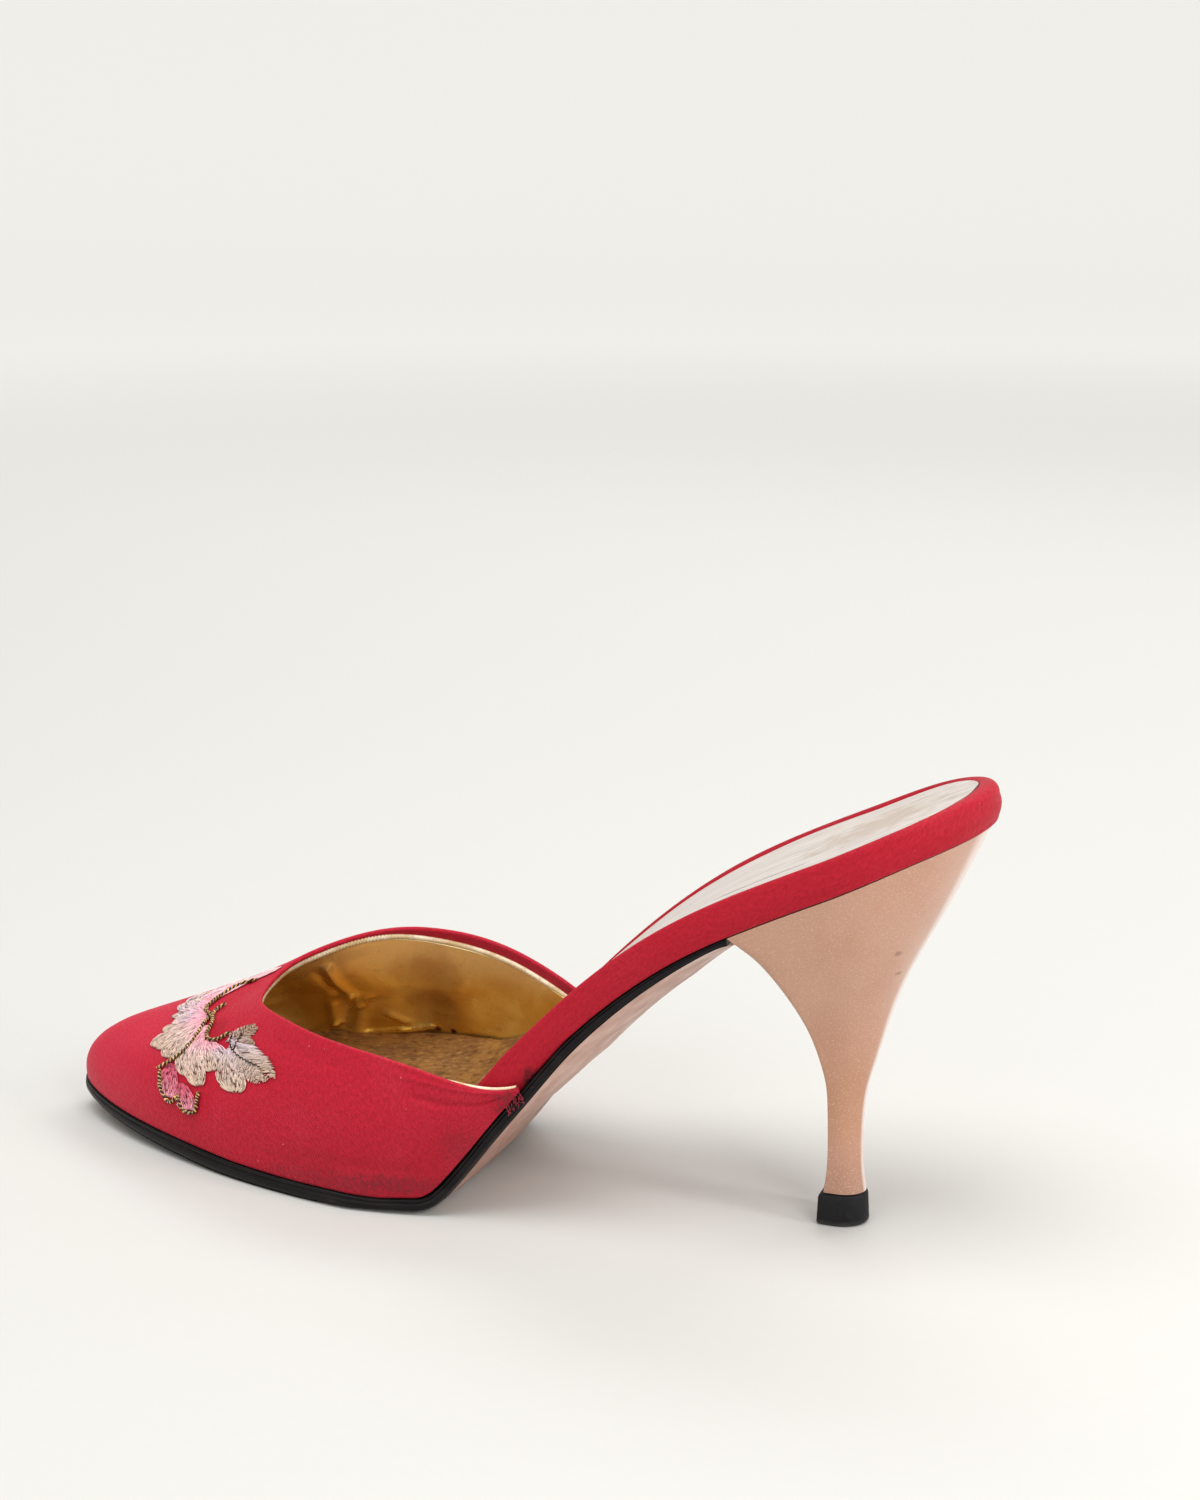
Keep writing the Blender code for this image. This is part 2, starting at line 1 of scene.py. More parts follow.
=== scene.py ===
import bmesh
import bpy
import numpy as np
from mathutils import Matrix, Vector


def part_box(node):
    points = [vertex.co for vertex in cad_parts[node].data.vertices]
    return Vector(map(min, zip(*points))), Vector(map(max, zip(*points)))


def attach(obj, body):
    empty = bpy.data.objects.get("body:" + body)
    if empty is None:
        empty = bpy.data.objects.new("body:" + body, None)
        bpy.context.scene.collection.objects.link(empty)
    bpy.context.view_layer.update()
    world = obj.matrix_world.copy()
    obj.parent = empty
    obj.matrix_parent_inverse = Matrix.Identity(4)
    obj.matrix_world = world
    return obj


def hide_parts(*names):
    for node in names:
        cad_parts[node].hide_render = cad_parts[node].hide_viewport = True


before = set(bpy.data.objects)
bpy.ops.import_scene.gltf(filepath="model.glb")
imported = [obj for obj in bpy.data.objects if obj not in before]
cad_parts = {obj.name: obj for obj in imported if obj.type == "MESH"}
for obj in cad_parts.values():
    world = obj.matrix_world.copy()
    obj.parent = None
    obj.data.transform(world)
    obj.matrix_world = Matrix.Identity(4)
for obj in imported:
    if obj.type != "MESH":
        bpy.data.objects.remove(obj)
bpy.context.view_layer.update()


# Footbed. A stiff padded board with a steel shank, shaped to the sole of the foot and wrapped in red satin.
# The satin is drawn over the rim and glued underneath, so its edge shows as a smooth band from the heel seat
# to the place where it runs in under the vamp.


def table(columns, *rows):
    """Rows of numbers as a dictionary with one array for each named column."""
    return dict(zip(columns.split(), np.array(rows, float).T))


MM = 0.001
LAST_LENGTH = 219.6
TOE_SIDE = -4.5
SEAT_LENGTH = 30.0
SEAT_HALF_WIDTH = 26.2
ROUND_END = 0.02
STATIONS = 220
BALL = {
    "outer": {"x": 134.0, "half_width": 31.0, "sweep": 1.42, "blunt": 0.68},
    "inner": {"x": 145.0, "half_width": 34.9, "sweep": 1.90, "blunt": 0.75},
}
WAIST = {
    "outer": table(
        "x half_width",
        (30, 26.2), (50, 26.2), (66, 25.5), (85, 24.6), (98, 25.5), (110, 27.0), (122, 29.5), (134, 31.0),
    ),
    "inner": table(
        "x half_width",
        (30, 26.2), (50, 25.8), (66, 24.4), (85, 22.2), (98, 22.4), (110, 24.6), (124, 29.6), (145, 34.9),
    ),
}
FOOTBED = table(
    "x top thickness",
    (0, 99.6, 7.4), (12, 95.4, 7.4), (28, 88.2, 7.4), (46, 79.7, 7.4), (66, 68.3, 7.2), (86, 51.7, 6.9),
    (95, 42.4, 7.9), (106, 30.1, 8.6), (113, 21.6, 8.7), (119, 15.2, 8.8), (126, 12.4, 8.8), (134, 12.4, 8.6),
    (142, 12.4, 8.4), (166, 12.4, 8.0), (187, 12.4, 6.8), (205, 12.2, 5.6), (222, 12.8, 4.6),
)
DISH = table(
    "x outer_rise inner_rise draw_in",
    (94, 0.0, 0.0, 0.0), (106, 0.0, 0.0, 0.3), (114, 0.6, 3.4, 0.6), (120, 1.6, 6.2, 0.8),
    (126, 2.4, 7.0, 0.8), (140, 3.2, 5.0, 0.8), (150, 3.4, 3.8, 0.8), (176, 2.4, 2.4, 0.9),
    (200, 0.0, 0.0, 0.9),
)
HEEL_LOW, HEEL_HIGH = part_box("heel")
ROW_ORIGIN = np.array([-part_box("footbed")[0].x, -(HEEL_LOW.y + HEEL_HIGH.y) / 2, 0.0]) / MM


def to_row(points):
    """Millimetres from the back of the seat, on the middle line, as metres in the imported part's frame."""
    return (np.asarray(points, float) - ROW_ORIGIN) * MM


def smooth(at, knots, values):
    """A natural cubic spline: cubic pieces through the knots that share slope and bend where they meet."""
    step = np.diff(knots)
    slope = np.diff(values) / step
    matrix = np.eye(len(knots))
    inner = np.arange(1, len(knots) - 1)
    matrix[inner, inner - 1] = step[:-1]
    matrix[inner, inner] = 2 * (step[:-1] + step[1:])
    matrix[inner, inner + 1] = step[1:]
    bend = np.linalg.solve(matrix, np.concatenate([[0], 6 * np.diff(slope), [0]]))
    i = np.clip(np.searchsorted(knots, at) - 1, 0, len(knots) - 2)
    a = (knots[i + 1] - at) / step[i]
    b = 1 - a
    cubic = ((a**3 - a) * bend[i] + (b**3 - b) * bend[i + 1]) * step[i] ** 2 / 6
    return a * values[i] + b * values[i + 1] + cubic


def footbed_top(x):
    """Height of the foot side: a spline along the shoe."""
    return smooth(x, FOOTBED["x"], FOOTBED["top"])


def steepness(x):
    """Length of the footbed's profile per millimetre along the shoe."""
    reach = 0.05
    return np.hypot(1, (footbed_top(x + reach) - footbed_top(x - reach)) / (2 * reach))


def footbed_under(x):
    """The foot side lowered by the thickness, which is measured square to it."""
    return footbed_top(x) - np.interp(x, FOOTBED["x"], FOOTBED["thickness"]) * steepness(x)


def dish(x, name):
    """One column of the dish inside the vamp, in straight lines along the shoe."""
    return np.interp(x, DISH["x"], DISH[name])


def last_half_width(x, side):
    """Half an ellipse round the seat, a spline through the waist, and a sweep from the ball to the toe."""
    ball = BALL[side]
    seat = SEAT_HALF_WIDTH * np.sqrt(1 - np.clip(1 - x / SEAT_LENGTH, 0, 1) ** 2)
    waist = smooth(np.clip(x, SEAT_LENGTH, ball["x"]), WAIST[side]["x"], WAIST[side]["half_width"])
    tip = TOE_SIDE if side == "outer" else -TOE_SIDE
    share = np.clip((x - ball["x"]) / (LAST_LENGTH - ball["x"]), 0, 1)
    toe = tip + (ball["half_width"] - tip) * (1 - share ** ball["sweep"]) ** ball["blunt"]
    return np.where(x < SEAT_LENGTH, seat, np.where(x > ball["x"], toe, waist))


def stations(first, last, count, open_start=False):
    """Places along the shoe spaced as a cosine, closer together towards round ends."""
    turn = np.linspace(np.pi / 2 if open_start else 0, np.pi, count)
    share = -np.cos(turn)
    return first + (last - first) * (share - share[0]) / (share[-1] - share[0])


def outline(places, stand_out):
    """Both sides of the last in plan, moved outwards square to themselves: two (count, 2) arrays."""
    sides = []
    for side, sign in (("outer", 1), ("inner", -1)):
        points = np.stack([places, sign * last_half_width(places, side)], axis=1)
        ahead = np.gradient(points, axis=0)
        ahead /= np.linalg.norm(ahead, axis=1)[:, None]
        outward = sign * np.stack([-ahead[:, 1], ahead[:, 0]], axis=1)
        sides.append(points + outward * np.broadcast_to(stand_out, places.shape)[:, None])
    return sides


def ring(places, stand_out, outer_height, inner_height, to_middle=0.0):
    """A loop round the last: the outer side from back to toe, then the inner side from toe to back.

    To_middle draws the two sides together, up to 1 where they meet in a line.
    """
    outer, inner = outline(places, stand_out)
    middle = (outer + inner) / 2
    outer = outer + (middle - outer) * to_middle
    inner = inner + (middle - inner) * to_middle
    return np.vstack([np.column_stack([outer, outer_height]), np.column_stack([inner, inner_height])[::-1]])


MERGE_DISTANCE = 1e-6


def make_piece(name, grids, around=True, layers=None, sharp_degrees=None):
    """A mesh from one or more grids of points in millimetres, in which every four neighbours make a face.

    The last axis of points closes on itself where the grid runs around. The UV map called surface holds the
    distance in millimetres along both axes, and layers are further values for each point.
    """
    grids = grids.reshape((-1,) + grids.shape[-3:])
    index = np.arange(grids[..., 0].size).reshape(grids.shape[:3])
    if around:
        index = np.concatenate([index, index[:, :, :1]], axis=2)
    points = grids.reshape(-1, 3)
    across = np.linalg.norm(np.diff(points[index], axis=2), axis=3).cumsum(axis=2)
    along = np.linalg.norm(np.diff(points[index], axis=1), axis=3).cumsum(axis=1)
    distance = np.stack([
        np.pad(across, ((0, 0), (0, 0), (1, 0))),
        np.pad(along, ((0, 0), (1, 0), (0, 0))),
    ], axis=3)
    near, far = slice(None, -1), slice(1, None)
    order = ((near, near), (near, far), (far, far), (far, near))
    corners = np.stack([index[:, i, j] for i, j in order], axis=3).reshape(-1, 4)
    uv = np.stack([distance[:, i, j] for i, j in order], axis=3).reshape(-1, 4, 2)
    a, b, c, d = (points[corners[:, k]] for k in range(4))
    if np.sum(a * (np.cross(b, c) + np.cross(c, d))) < 0:
        corners, uv = corners[:, ::-1], uv[:, ::-1]
    mesh = bpy.data.meshes.new(name)
    mesh.vertices.add(len(points))
    mesh.vertices.foreach_set("co", to_row(points).astype(np.float32).ravel())
    mesh.loops.add(corners.size)
    mesh.loops.foreach_set("vertex_index", corners.astype(np.int32).ravel())
    mesh.polygons.add(len(corners))
    mesh.polygons.foreach_set("loop_start", np.arange(0, corners.size, 4, dtype=np.int32))
    mesh.update(calc_edges=True)
    mesh.uv_layers.new(name="surface").uv.foreach_set("vector", uv.astype(np.float32).ravel())
    for layer, values in (layers or {}).items():
        kind, field = ("FLOAT_COLOR", "color") if values.shape[-1] == 4 else ("FLOAT", "value")
        mesh.attributes.new(layer, kind, "POINT").data.foreach_set(field, values.astype(np.float32).ravel())
    merged = bmesh.new()
    merged.from_mesh(mesh)
    bmesh.ops.remove_doubles(merged, verts=merged.verts, dist=MERGE_DISTANCE)
    merged.to_mesh(mesh)
    merged.free()
    mesh.shade_smooth()
    if sharp_degrees is not None:
        mesh.set_sharp_from_angle(angle=np.radians(sharp_degrees))
    piece = bpy.data.objects.new(name, mesh)
    bpy.context.scene.collection.objects.link(piece)
    return piece


def colour(red, green, blue):
    """A colour given as 0 to 255 on a screen, as the light it stands for."""
    share = np.array([red, green, blue]) / 255
    light = np.where(share <= 0.04045, share / 12.92, ((share + 0.055) / 1.055) ** 2.4)
    return (*(float(value) for value in light), 1.0)


def shader_node(tree, kind, inputs=None, **settings):
    """A node with its settings, each input either given a value or linked from another node's socket."""
    node = tree.nodes.new(kind)
    for key, value in settings.items():
        setattr(node, key, value)
    for key, value in (inputs or {}).items():
        if isinstance(value, bpy.types.NodeSocket):
            tree.links.new(value, node.inputs[key])
        else:
            node.inputs[key].default_value = value
    return node


def mix_colour(tree, share, first, second, blend="MIX"):
    """One colour over another, by a share from 0 to 1. The node's colours are its sockets 6 and 7."""
    inputs = {0: share, 6: first, 7: second}
    return shader_node(tree, "ShaderNodeMix", inputs, data_type="RGBA", blend_type=blend).outputs[2]


def spread(tree, value, low, high, to_low=0.0, to_high=1.0):
    """A value between low and high stretched to other limits, held at them outside."""
    limits = {"Value": value, "From Min": low, "From Max": high, "To Min": to_low, "To Max": to_high}
    return shader_node(tree, "ShaderNodeMapRange", limits, interpolation_type="SMOOTHSTEP").outputs[0]


def wash(tree, base, value, low, high, share, tint):
    """A tint over a colour: none where the value is at low, and up to a share where it is at high."""
    return mix_colour(tree, spread(tree, value, low, high, 0.0, share), base, colour(*tint))


def calculate(tree, operation, first, second=0.0):
    """One step of arithmetic on two values."""
    return shader_node(tree, "ShaderNodeMath", {0: first, 1: second}, operation=operation).outputs[0]


def vector_step(tree, operation, first, second=(0.0, 0.0, 0.0), output="Vector"):
    """One step of arithmetic on two vectors, or on the first alone."""
    inputs = {0: first, 1: second}
    return shader_node(tree, "ShaderNodeVectorMath", inputs, operation=operation).outputs[output]


def noise(tree, place, size, detail=3.0, stretch=(1.0, 1.0, 1.0), uneven=0.0):
    """Cloudy noise. Its clouds have that size in the units of the place, and stretch draws them out."""
    scale = tuple(1 / (size * part) for part in stretch)
    mapped = shader_node(tree, "ShaderNodeMapping", {"Vector": place, "Scale": scale}).outputs[0]
    settings = {"Vector": mapped, "Scale": 1.0, "Detail": detail, "Distortion": uneven}
    return shader_node(tree, "ShaderNodeTexNoise", settings).outputs[0]


def in_millimetres(tree):
    """The point on the piece, in millimetres in the part's own frame."""
    place = shader_node(tree, "ShaderNodeTexCoord").outputs["Object"]
    return vector_step(tree, "MULTIPLY", place, (1 / MM,) * 3)


def new_group(name, inputs, outputs):
    """An empty node group: inputs are given as name, kind and starting value, outputs as name and kind."""
    tree = bpy.data.node_groups.new(name, "ShaderNodeTree")
    for socket, kind, start in inputs:
        made = tree.interface.new_socket(name=socket, in_out="INPUT", socket_type=kind)
        made.default_value = start
    for socket, kind in outputs:
        tree.interface.new_socket(name=socket, in_out="OUTPUT", socket_type=kind)
    return tree, tree.nodes.new("NodeGroupInput").outputs, tree.nodes.new("NodeGroupOutput").inputs


def place_group(tree, group, inputs):
    """A node group put into a material, with values for its inputs. Gives its outputs."""
    return shader_node(tree, "ShaderNodeGroup", inputs, node_tree=group).outputs


def new_material(piece, name, **constants):
    """A material for a piece, with what is the same all over it set on its shader's own sockets."""
    material = bpy.data.materials.new(name)
    material.use_nodes = True
    piece.data.materials.append(material)
    shader = material.node_tree.nodes["Principled BSDF"]
    for key, value in constants.items():
        shader.inputs[key.replace("_", " ")].default_value = value
    return material.node_tree, shader


def finish_shader(tree, shader, base, roughness, height, depth_mm):
    """Links the colour, the roughness and the relief of a surface to its shader."""
    tree.links.new(base, shader.inputs["Base Color"])
    tree.links.new(roughness, shader.inputs["Roughness"])
    relief = shader_node(tree, "ShaderNodeBump", {"Height": height, "Distance": depth_mm * MM})
    tree.links.new(relief.outputs[0], shader.inputs["Normal"])


# Satin weave, in millimetres along the cloth: diagonal twill lines, uneven yarns, and large faded patches.
satin_weave, given, put_out = new_group(
    "satin_weave",
    [
        ("Cloth", "NodeSocketColor", colour(190, 18, 46)),
        ("Shade", "NodeSocketColor", colour(146, 8, 28)),
        ("Faded", "NodeSocketColor", colour(198, 38, 60)),
        ("Fading", "NodeSocketFloat", 0.5),
    ],
    [("Colour", "NodeSocketColor"), ("Roughness", "NodeSocketFloat"), ("Height", "NodeSocketFloat")],
)
cloth_place = shader_node(satin_weave, "ShaderNodeUVMap", uv_map="surface").outputs[0]
twill = shader_node(
    satin_weave,
    "ShaderNodeTexWave",
    {"Vector": cloth_place, "Scale": 1.05, "Distortion": 2.2, "Detail": 2.0, "Detail Scale": 1.4},
    bands_direction="DIAGONAL",
).outputs["Fac"]
yarn = noise(satin_weave, cloth_place, 0.55, detail=2.0, stretch=(2.6, 1.0, 1.0))
fleck = noise(satin_weave, cloth_place, 0.9, detail=5.0)
patch = noise(satin_weave, in_millimetres(satin_weave), 17.0, detail=4.0, uneven=0.6)
weave = calculate(satin_weave, "ADD", calculate(satin_weave, "MULTIPLY", twill, 0.35), yarn)
dark_share = spread(satin_weave, calculate(satin_weave, "ADD", weave, fleck), 0.85, 1.5, 0.65, 0.0)
faded_share = calculate(satin_weave, "MULTIPLY", spread(satin_weave, patch, 0.42, 0.72), given["Fading"])
cloth = mix_colour(satin_weave, faded_share, given["Cloth"], given["Faded"])
cloth = mix_colour(satin_weave, dark_share, cloth, given["Shade"])
satin_weave.links.new(cloth, put_out["Colour"])
satin_weave.links.new(spread(satin_weave, fleck, 0.3, 0.7, 0.66, 0.5), put_out["Roughness"])
satin_weave.links.new(weave, put_out["Height"])

# Smudge: a soft uneven mark round a place on the piece. It is strongest there and ends at the reach, and a
# cloud noise moves its edge in and out.
smudge, given, put_out = new_group(
    "smudge",
    [
        ("Place", "NodeSocketVector", (0.0, 0.0, 0.0)),
        ("Reach", "NodeSocketFloat", 10.0),
        ("Flatten", "NodeSocketVector", (1.0, 1.0, 1.0)),
        ("Unevenness", "NodeSocketFloat", 0.8),
        ("Cloud", "NodeSocketFloat", 3.0),
    ],
    [("Mask", "NodeSocketFloat")],
)
from_place = vector_step(smudge, "SUBTRACT", in_millimetres(smudge), given["Place"])
flattened = vector_step(smudge, "MULTIPLY", from_place, given["Flatten"])
away = vector_step(smudge, "LENGTH", flattened, output="Value")
nearness = calculate(smudge, "SUBTRACT", 1.0, calculate(smudge, "DIVIDE", away, given["Reach"]))
cloud_scale = calculate(smudge, "DIVIDE", 1.0, given["Cloud"])
cloud_inputs = {"Vector": in_millimetres(smudge), "Detail": 4.0, "Scale": cloud_scale}
clouds = shader_node(smudge, "ShaderNodeTexNoise", cloud_inputs).outputs[0]
uneven = calculate(smudge, "MULTIPLY", calculate(smudge, "SUBTRACT", clouds, 0.5), given["Unevenness"])
mark = calculate(smudge, "ADD", nearness, calculate(smudge, "MULTIPLY", uneven, 2.0))
smudge.links.new(spread(smudge, mark, 0.15, 0.75), put_out["Mask"])


def smudge_mask(tree, place, reach, flatten=(1.0, 1.0, 1.0), unevenness=0.8, cloud=3.0):
    """A smudge round a place given in millimetres from the back of the seat."""
    values = {
        "Place": tuple(np.asarray(place) - ROW_ORIGIN),
        "Reach": reach,
        "Flatten": flatten,
        "Unevenness": unevenness,
        "Cloud": cloud,
    }
    return place_group(tree, smudge, values)["Mask"]


RIM_RADIUS = 1.15
RIM_DEPTH = 2.3
RIM_LIFT = 0.2
RIM_DEGREES = 178.0
UNDER_RADIUS = 0.8
BAND_BULGE = 0.35
BACK_WIDENING = 0.9
BACK_LENGTH = 14.0
TOE_CUT = 1.5
TOE_CUT_POWER = 1.6
BED_DROP = -RIM_RADIUS - 0.6
BED_SHOULDER = 0.05
SKIVED = table("x drop", (100, 0.0), (114, 1.6))


def band_profile():
    """Shares of thickness, heights and insets up the band: a round lower edge, a full side, a rolled rim."""
    low = np.radians(np.linspace(-90, 0, 6))
    side = np.linspace(0, 1, 9)[1:-1]
    roll = np.radians(np.linspace(0, RIM_DEGREES, 16))
    share = np.concatenate([np.zeros(len(low)), side, np.ones(len(roll))])
    height = np.concatenate([
        UNDER_RADIUS * (1 + np.sin(low)),
        UNDER_RADIUS * (1 - side) - (RIM_DEPTH - RIM_LIFT) * side,
        np.where(roll < np.pi / 2, RIM_DEPTH, RIM_RADIUS) * (np.sin(roll) - 1) + RIM_LIFT,
    ])
    inset = np.concatenate([
        UNDER_RADIUS * (1 - np.cos(low)),
        -BAND_BULGE * np.sin(np.pi * side),
        RIM_RADIUS * (1 - np.cos(roll)),
    ])
    return share, height, inset


def short_of_toe(inset):
    """How far an inset line stops before the pointed toe, more than in proportion to its inset."""
    return ROUND_END + TOE_CUT * max(inset, 0.0) ** TOE_CUT_POWER


def band_level(share, height, inset, to_middle=0.0):
    """One loop of the wrapped footbed, between its underside and its dished foot side."""
    places = stations(ROUND_END, LAST_LENGTH - short_of_toe(inset), STATIONS)
    skived = np.interp(places, SKIVED["x"], SKIVED["drop"])
    base = footbed_under(places) * (1 - share) + (footbed_top(places) - skived) * share + height
    widen = 1 + share * BACK_WIDENING * np.clip(1 - places / BACK_LENGTH, 0, 1)
    draw_in = inset * widen + share * dish(places, "draw_in")
    return ring(
        places,
        -draw_in,
        base + share * dish(places, "outer_rise") * (1 - to_middle),
        base + share * dish(places, "inner_rise") * (1 - to_middle),
        to_middle,
    )


band = [band_level(0, 0, UNDER_RADIUS, 1.0)]
band += [band_level(*level) for level in zip(*band_profile())]
band += [band_level(1, BED_DROP, 2 * RIM_RADIUS, to_middle) for to_middle in (BED_SHOULDER, 1.0)]
footbed_wrap = make_piece("footbed_wrap", np.array(band))

SMEAR = {
    "place": (92.4, 27.4, 32.0),
    "reach": 5.2,
    "flatten": (1.0, 0.6, 1.0),
    "unevenness": 0.5,
    "cloud": 1.6,
}
SMEAR_COLOUR = colour(22, 13, 15)
tree, shader = new_material(
    footbed_wrap, "satin_band", Specular_IOR_Level=0.2, Sheen_Weight=0.12, Sheen_Roughness=0.4,
    Sheen_Tint=colour(255, 120, 130),
)
dyes = {"Fading": 0.25, "Cloth": colour(180, 18, 40), "Faded": colour(190, 32, 54)}
satin = place_group(tree, satin_weave, dyes)
lint = noise(tree, in_millimetres(tree), 0.8, detail=1.0)
band_colour = wash(tree, satin["Colour"], lint, 0.79, 0.86, 1.0, (214, 150, 150))
band_colour = mix_colour(tree, smudge_mask(tree, **SMEAR), band_colour, SMEAR_COLOUR)
finish_shader(tree, shader, band_colour, satin["Roughness"], satin["Height"], 0.10)
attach(footbed_wrap, "root")
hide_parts("footbed")


# Vamp. Red satin on a stiffened backing, cut in one piece with a wing down each side, drawn over the last and
# glued under the footbed. At the topline the satin is turned over to the inside.

WALL = 1.8
SATIN_WALL = 1.25
GAP = 0.3
BREAST_X = 50.0
WING_END_X = 95.5
FEATHER_SPREAD = 1.4
FACING_FROM = 3.0
FACING_OVER = 7.0
ROLL_RADIUS = 0.62
VAMP = table(
    "round top_x top_y top_z wall flare crown lean",
    (-1.00, 95.5, 27.7, 31.4, 0.4, 0.1, 0.4, 88),
    (-0.93, 104.0, 29.0, 30.5, 3.0, 0.4, 3.0, 88),
    (-0.85, 118.0, 29.6, 33.4, 9.0, 1.2, 8.0, 80),
    (-0.72, 137.0, 26.8, 35.8, 13.0, 1.8, 11.0, 64),
    (-0.52, 154.0, 18.8, 36.4, 13.5, 1.8, 15.0, 46),
    (-0.30, 166.4, 8.8, 36.2, 14.6, 2.0, 22.0, 31),
    (-0.14, 169.6, 2.4, 36.6, 14.8, 2.2, 26.0, 26),
    (0.00, 170.2, -4.0, 37.7, 15.0, 2.2, 28.0, 23),
    (0.14, 169.0, -10.2, 39.6, 15.0, 2.2, 26.0, 26),
    (0.30, 164.4, -16.0, 42.1, 15.2, 2.2, 22.0, 35),
    (0.52, 152.0, -22.4, 46.2, 15.0, 2.0, 17.0, 54),
    (0.72, 135.0, -26.4, 47.0, 15.0, 2.0, 14.0, 70),
    (0.85, 116.5, -26.6, 43.3, 12.0, 1.4, 11.0, 80),
    (0.93, 103.5, -26.0, 37.2, 4.0, 0.5, 4.0, 88),
    (1.00, 95.5, -24.8, 32.4, 0.4, 0.1, 0.4, 88),
)
FEATHER_PLACES = stations(BREAST_X, LAST_LENGTH - ROUND_END, 600, open_start=True)
FEATHER_LINE = outline(FEATHER_PLACES, WALL + GAP)
FEATHER_OUTWARD = [
    (edge - base) / (WALL + GAP) for edge, base in zip(FEATHER_LINE, outline(FEATHER_PLACES, 0.0))
]


def feather(turn):
    """The lower edge of the vamp at a place round it, and the outward direction in plan there."""
    turn = np.asarray(turn, float)
    places = LAST_LENGTH - ROUND_END - (LAST_LENGTH - WING_END_X) * np.abs(turn) ** FEATHER_SPREAD

    def along(sides, axis):
        """One axis of the side that the place is on: the outer side up to 0, the inner side past it."""
        outer, inner = (np.interp(places, FEATHER_PLACES, side[:, axis]) for side in sides)
        return np.where(turn <= 0, outer, inner)

    x, y = along(FEATHER_LINE, 0), along(FEATHER_LINE, 1)
    foot = np.stack([x, y, footbed_under(np.minimum(x, LAST_LENGTH))], axis=-1)
    outward = np.stack([along(FEATHER_OUTWARD, 0), along(FEATHER_OUTWARD, 1), np.zeros_like(x)], axis=-1)
    return foot, outward / np.linalg.norm(outward, axis=-1, keepdims=True)


def vamp_value(turn, name):
    """One column of the vamp table: a spline round the vamp."""
    return smooth(np.asarray(turn, float), VAMP["round"], VAMP[name])[..., None]


def vamp_surface(turn, rise):
    """The outside of the vamp: a cubic curve that rises from the feather line and leans in to the topline."""
    foot, outward = feather(turn)
    top = np.concatenate([vamp_value(turn, name) for name in ("top_x", "top_y", "top_z")], axis=-1)
    level = np.array([1.0, 1.0, 0.0])
    inward = (top - foot) * level
    reach = np.linalg.norm(inward, axis=-1, keepdims=True)
    share = np.clip((reach - FACING_FROM) / FACING_OVER, 0, 1)
    facing = inward / np.maximum(reach, 1e-6) * share - outward * (1 - share)
    facing = facing / np.linalg.norm(facing, axis=-1, keepdims=True)
    up = np.array([0.0, 0.0, 1.0])
    low = foot + up * vamp_value(turn, "wall") + outward * vamp_value(turn, "flare")
    lean = np.radians(vamp_value(turn, "lean"))
    high = top - (facing * np.cos(lean) + up * np.sin(lean)) * vamp_value(turn, "crown")
    t = np.asarray(rise, float)[..., None]
    return foot * (1 - t) ** 3 + 3 * low * t * (1 - t) ** 2 + 3 * high * t**2 * (1 - t) + top * t**3


def vamp_frame(turn, rise):
    """The outside point, its outward direction and the direction up the vamp, by small steps both ways."""
    step = 0.002
    above, below = np.minimum(rise + step, 1), np.maximum(rise - step, 0)
    after, before = np.minimum(turn + step, 1), np.maximum(turn - step, -1)
    up_vamp = vamp_surface(turn, above) - vamp_surface(turn, below)
    round_vamp = vamp_surface(after, rise) - vamp_surface(before, rise)
    outward = np.cross(up_vamp, round_vamp)
    outward /= np.linalg.norm(outward, axis=-1, keepdims=True)
    return vamp_surface(turn, rise), outward, up_vamp / np.linalg.norm(up_vamp, axis=-1, keepdims=True)


ROUND_MM = 78.0
RISE_MM = 56.0


def creases(turn, rise, rows):
    """Depth of listed creases: a soft trough along each line from one place on the vamp to another.

    The columns are round and rise of the start, round and rise of the end, half width and depth. The last two
    are in millimetres, and a depth below zero is a ridge.
    """
    place = np.stack([turn * ROUND_MM, rise * RISE_MM], axis=-1)[..., None, :]
    rows = np.array(rows)
    scale = np.array([ROUND_MM, RISE_MM])
    start, end = rows[:, 0:2] * scale, rows[:, 2:4] * scale
    line = end - start
    share = np.clip(np.sum((place - start) * line, axis=-1) / np.sum(line * line, axis=-1), 0, 1)
    away = np.linalg.norm(place - start - share[..., None] * line, axis=-1)
    return np.sum(rows[:, 5] * np.exp(-((away / rows[:, 4]) ** 2)), axis=-1)


SATIN_CREASES = [
    (-0.86, 0.76, -0.95, 0.70, 1.6, 0.45),
    (-0.83, 0.90, -0.95, 0.92, 1.2, -0.25),
    (-0.70, 0.16, -0.84, 0.22, 2.4, 0.30),
    (-0.60, 0.12, -0.74, 0.10, 1.8, 0.22),
    (-0.66, 0.42, -0.58, 0.20, 4.0, 0.22),
    (-0.52, 0.86, -0.70, 0.84, 3.0, 0.25),
    (-0.22, 0.18, -0.10, 0.30, 4.5, 0.25),
    (0.10, 0.20, 0.02, 0.42, 5.0, -0.22),
    (0.30, 0.55, 0.50, 0.50, 4.5, 0.30),
    (0.55, 0.30, 0.72, 0.42, 4.0, 0.25),
]
CREASE_END_FADE = 0.03
CREASE_FOOT_FADE = 0.06
TURNS = np.linspace(-1, 1, 381)
RISES = np.linspace(0, 1, 72)


def top_share(turn, down_mm):
    """The rise that lies that many millimetres below the topline, where one rise is three crowns long."""
    return 1 - np.minimum(down_mm / (3 * vamp_value(turn, "crown")[..., 0]), 0.5)


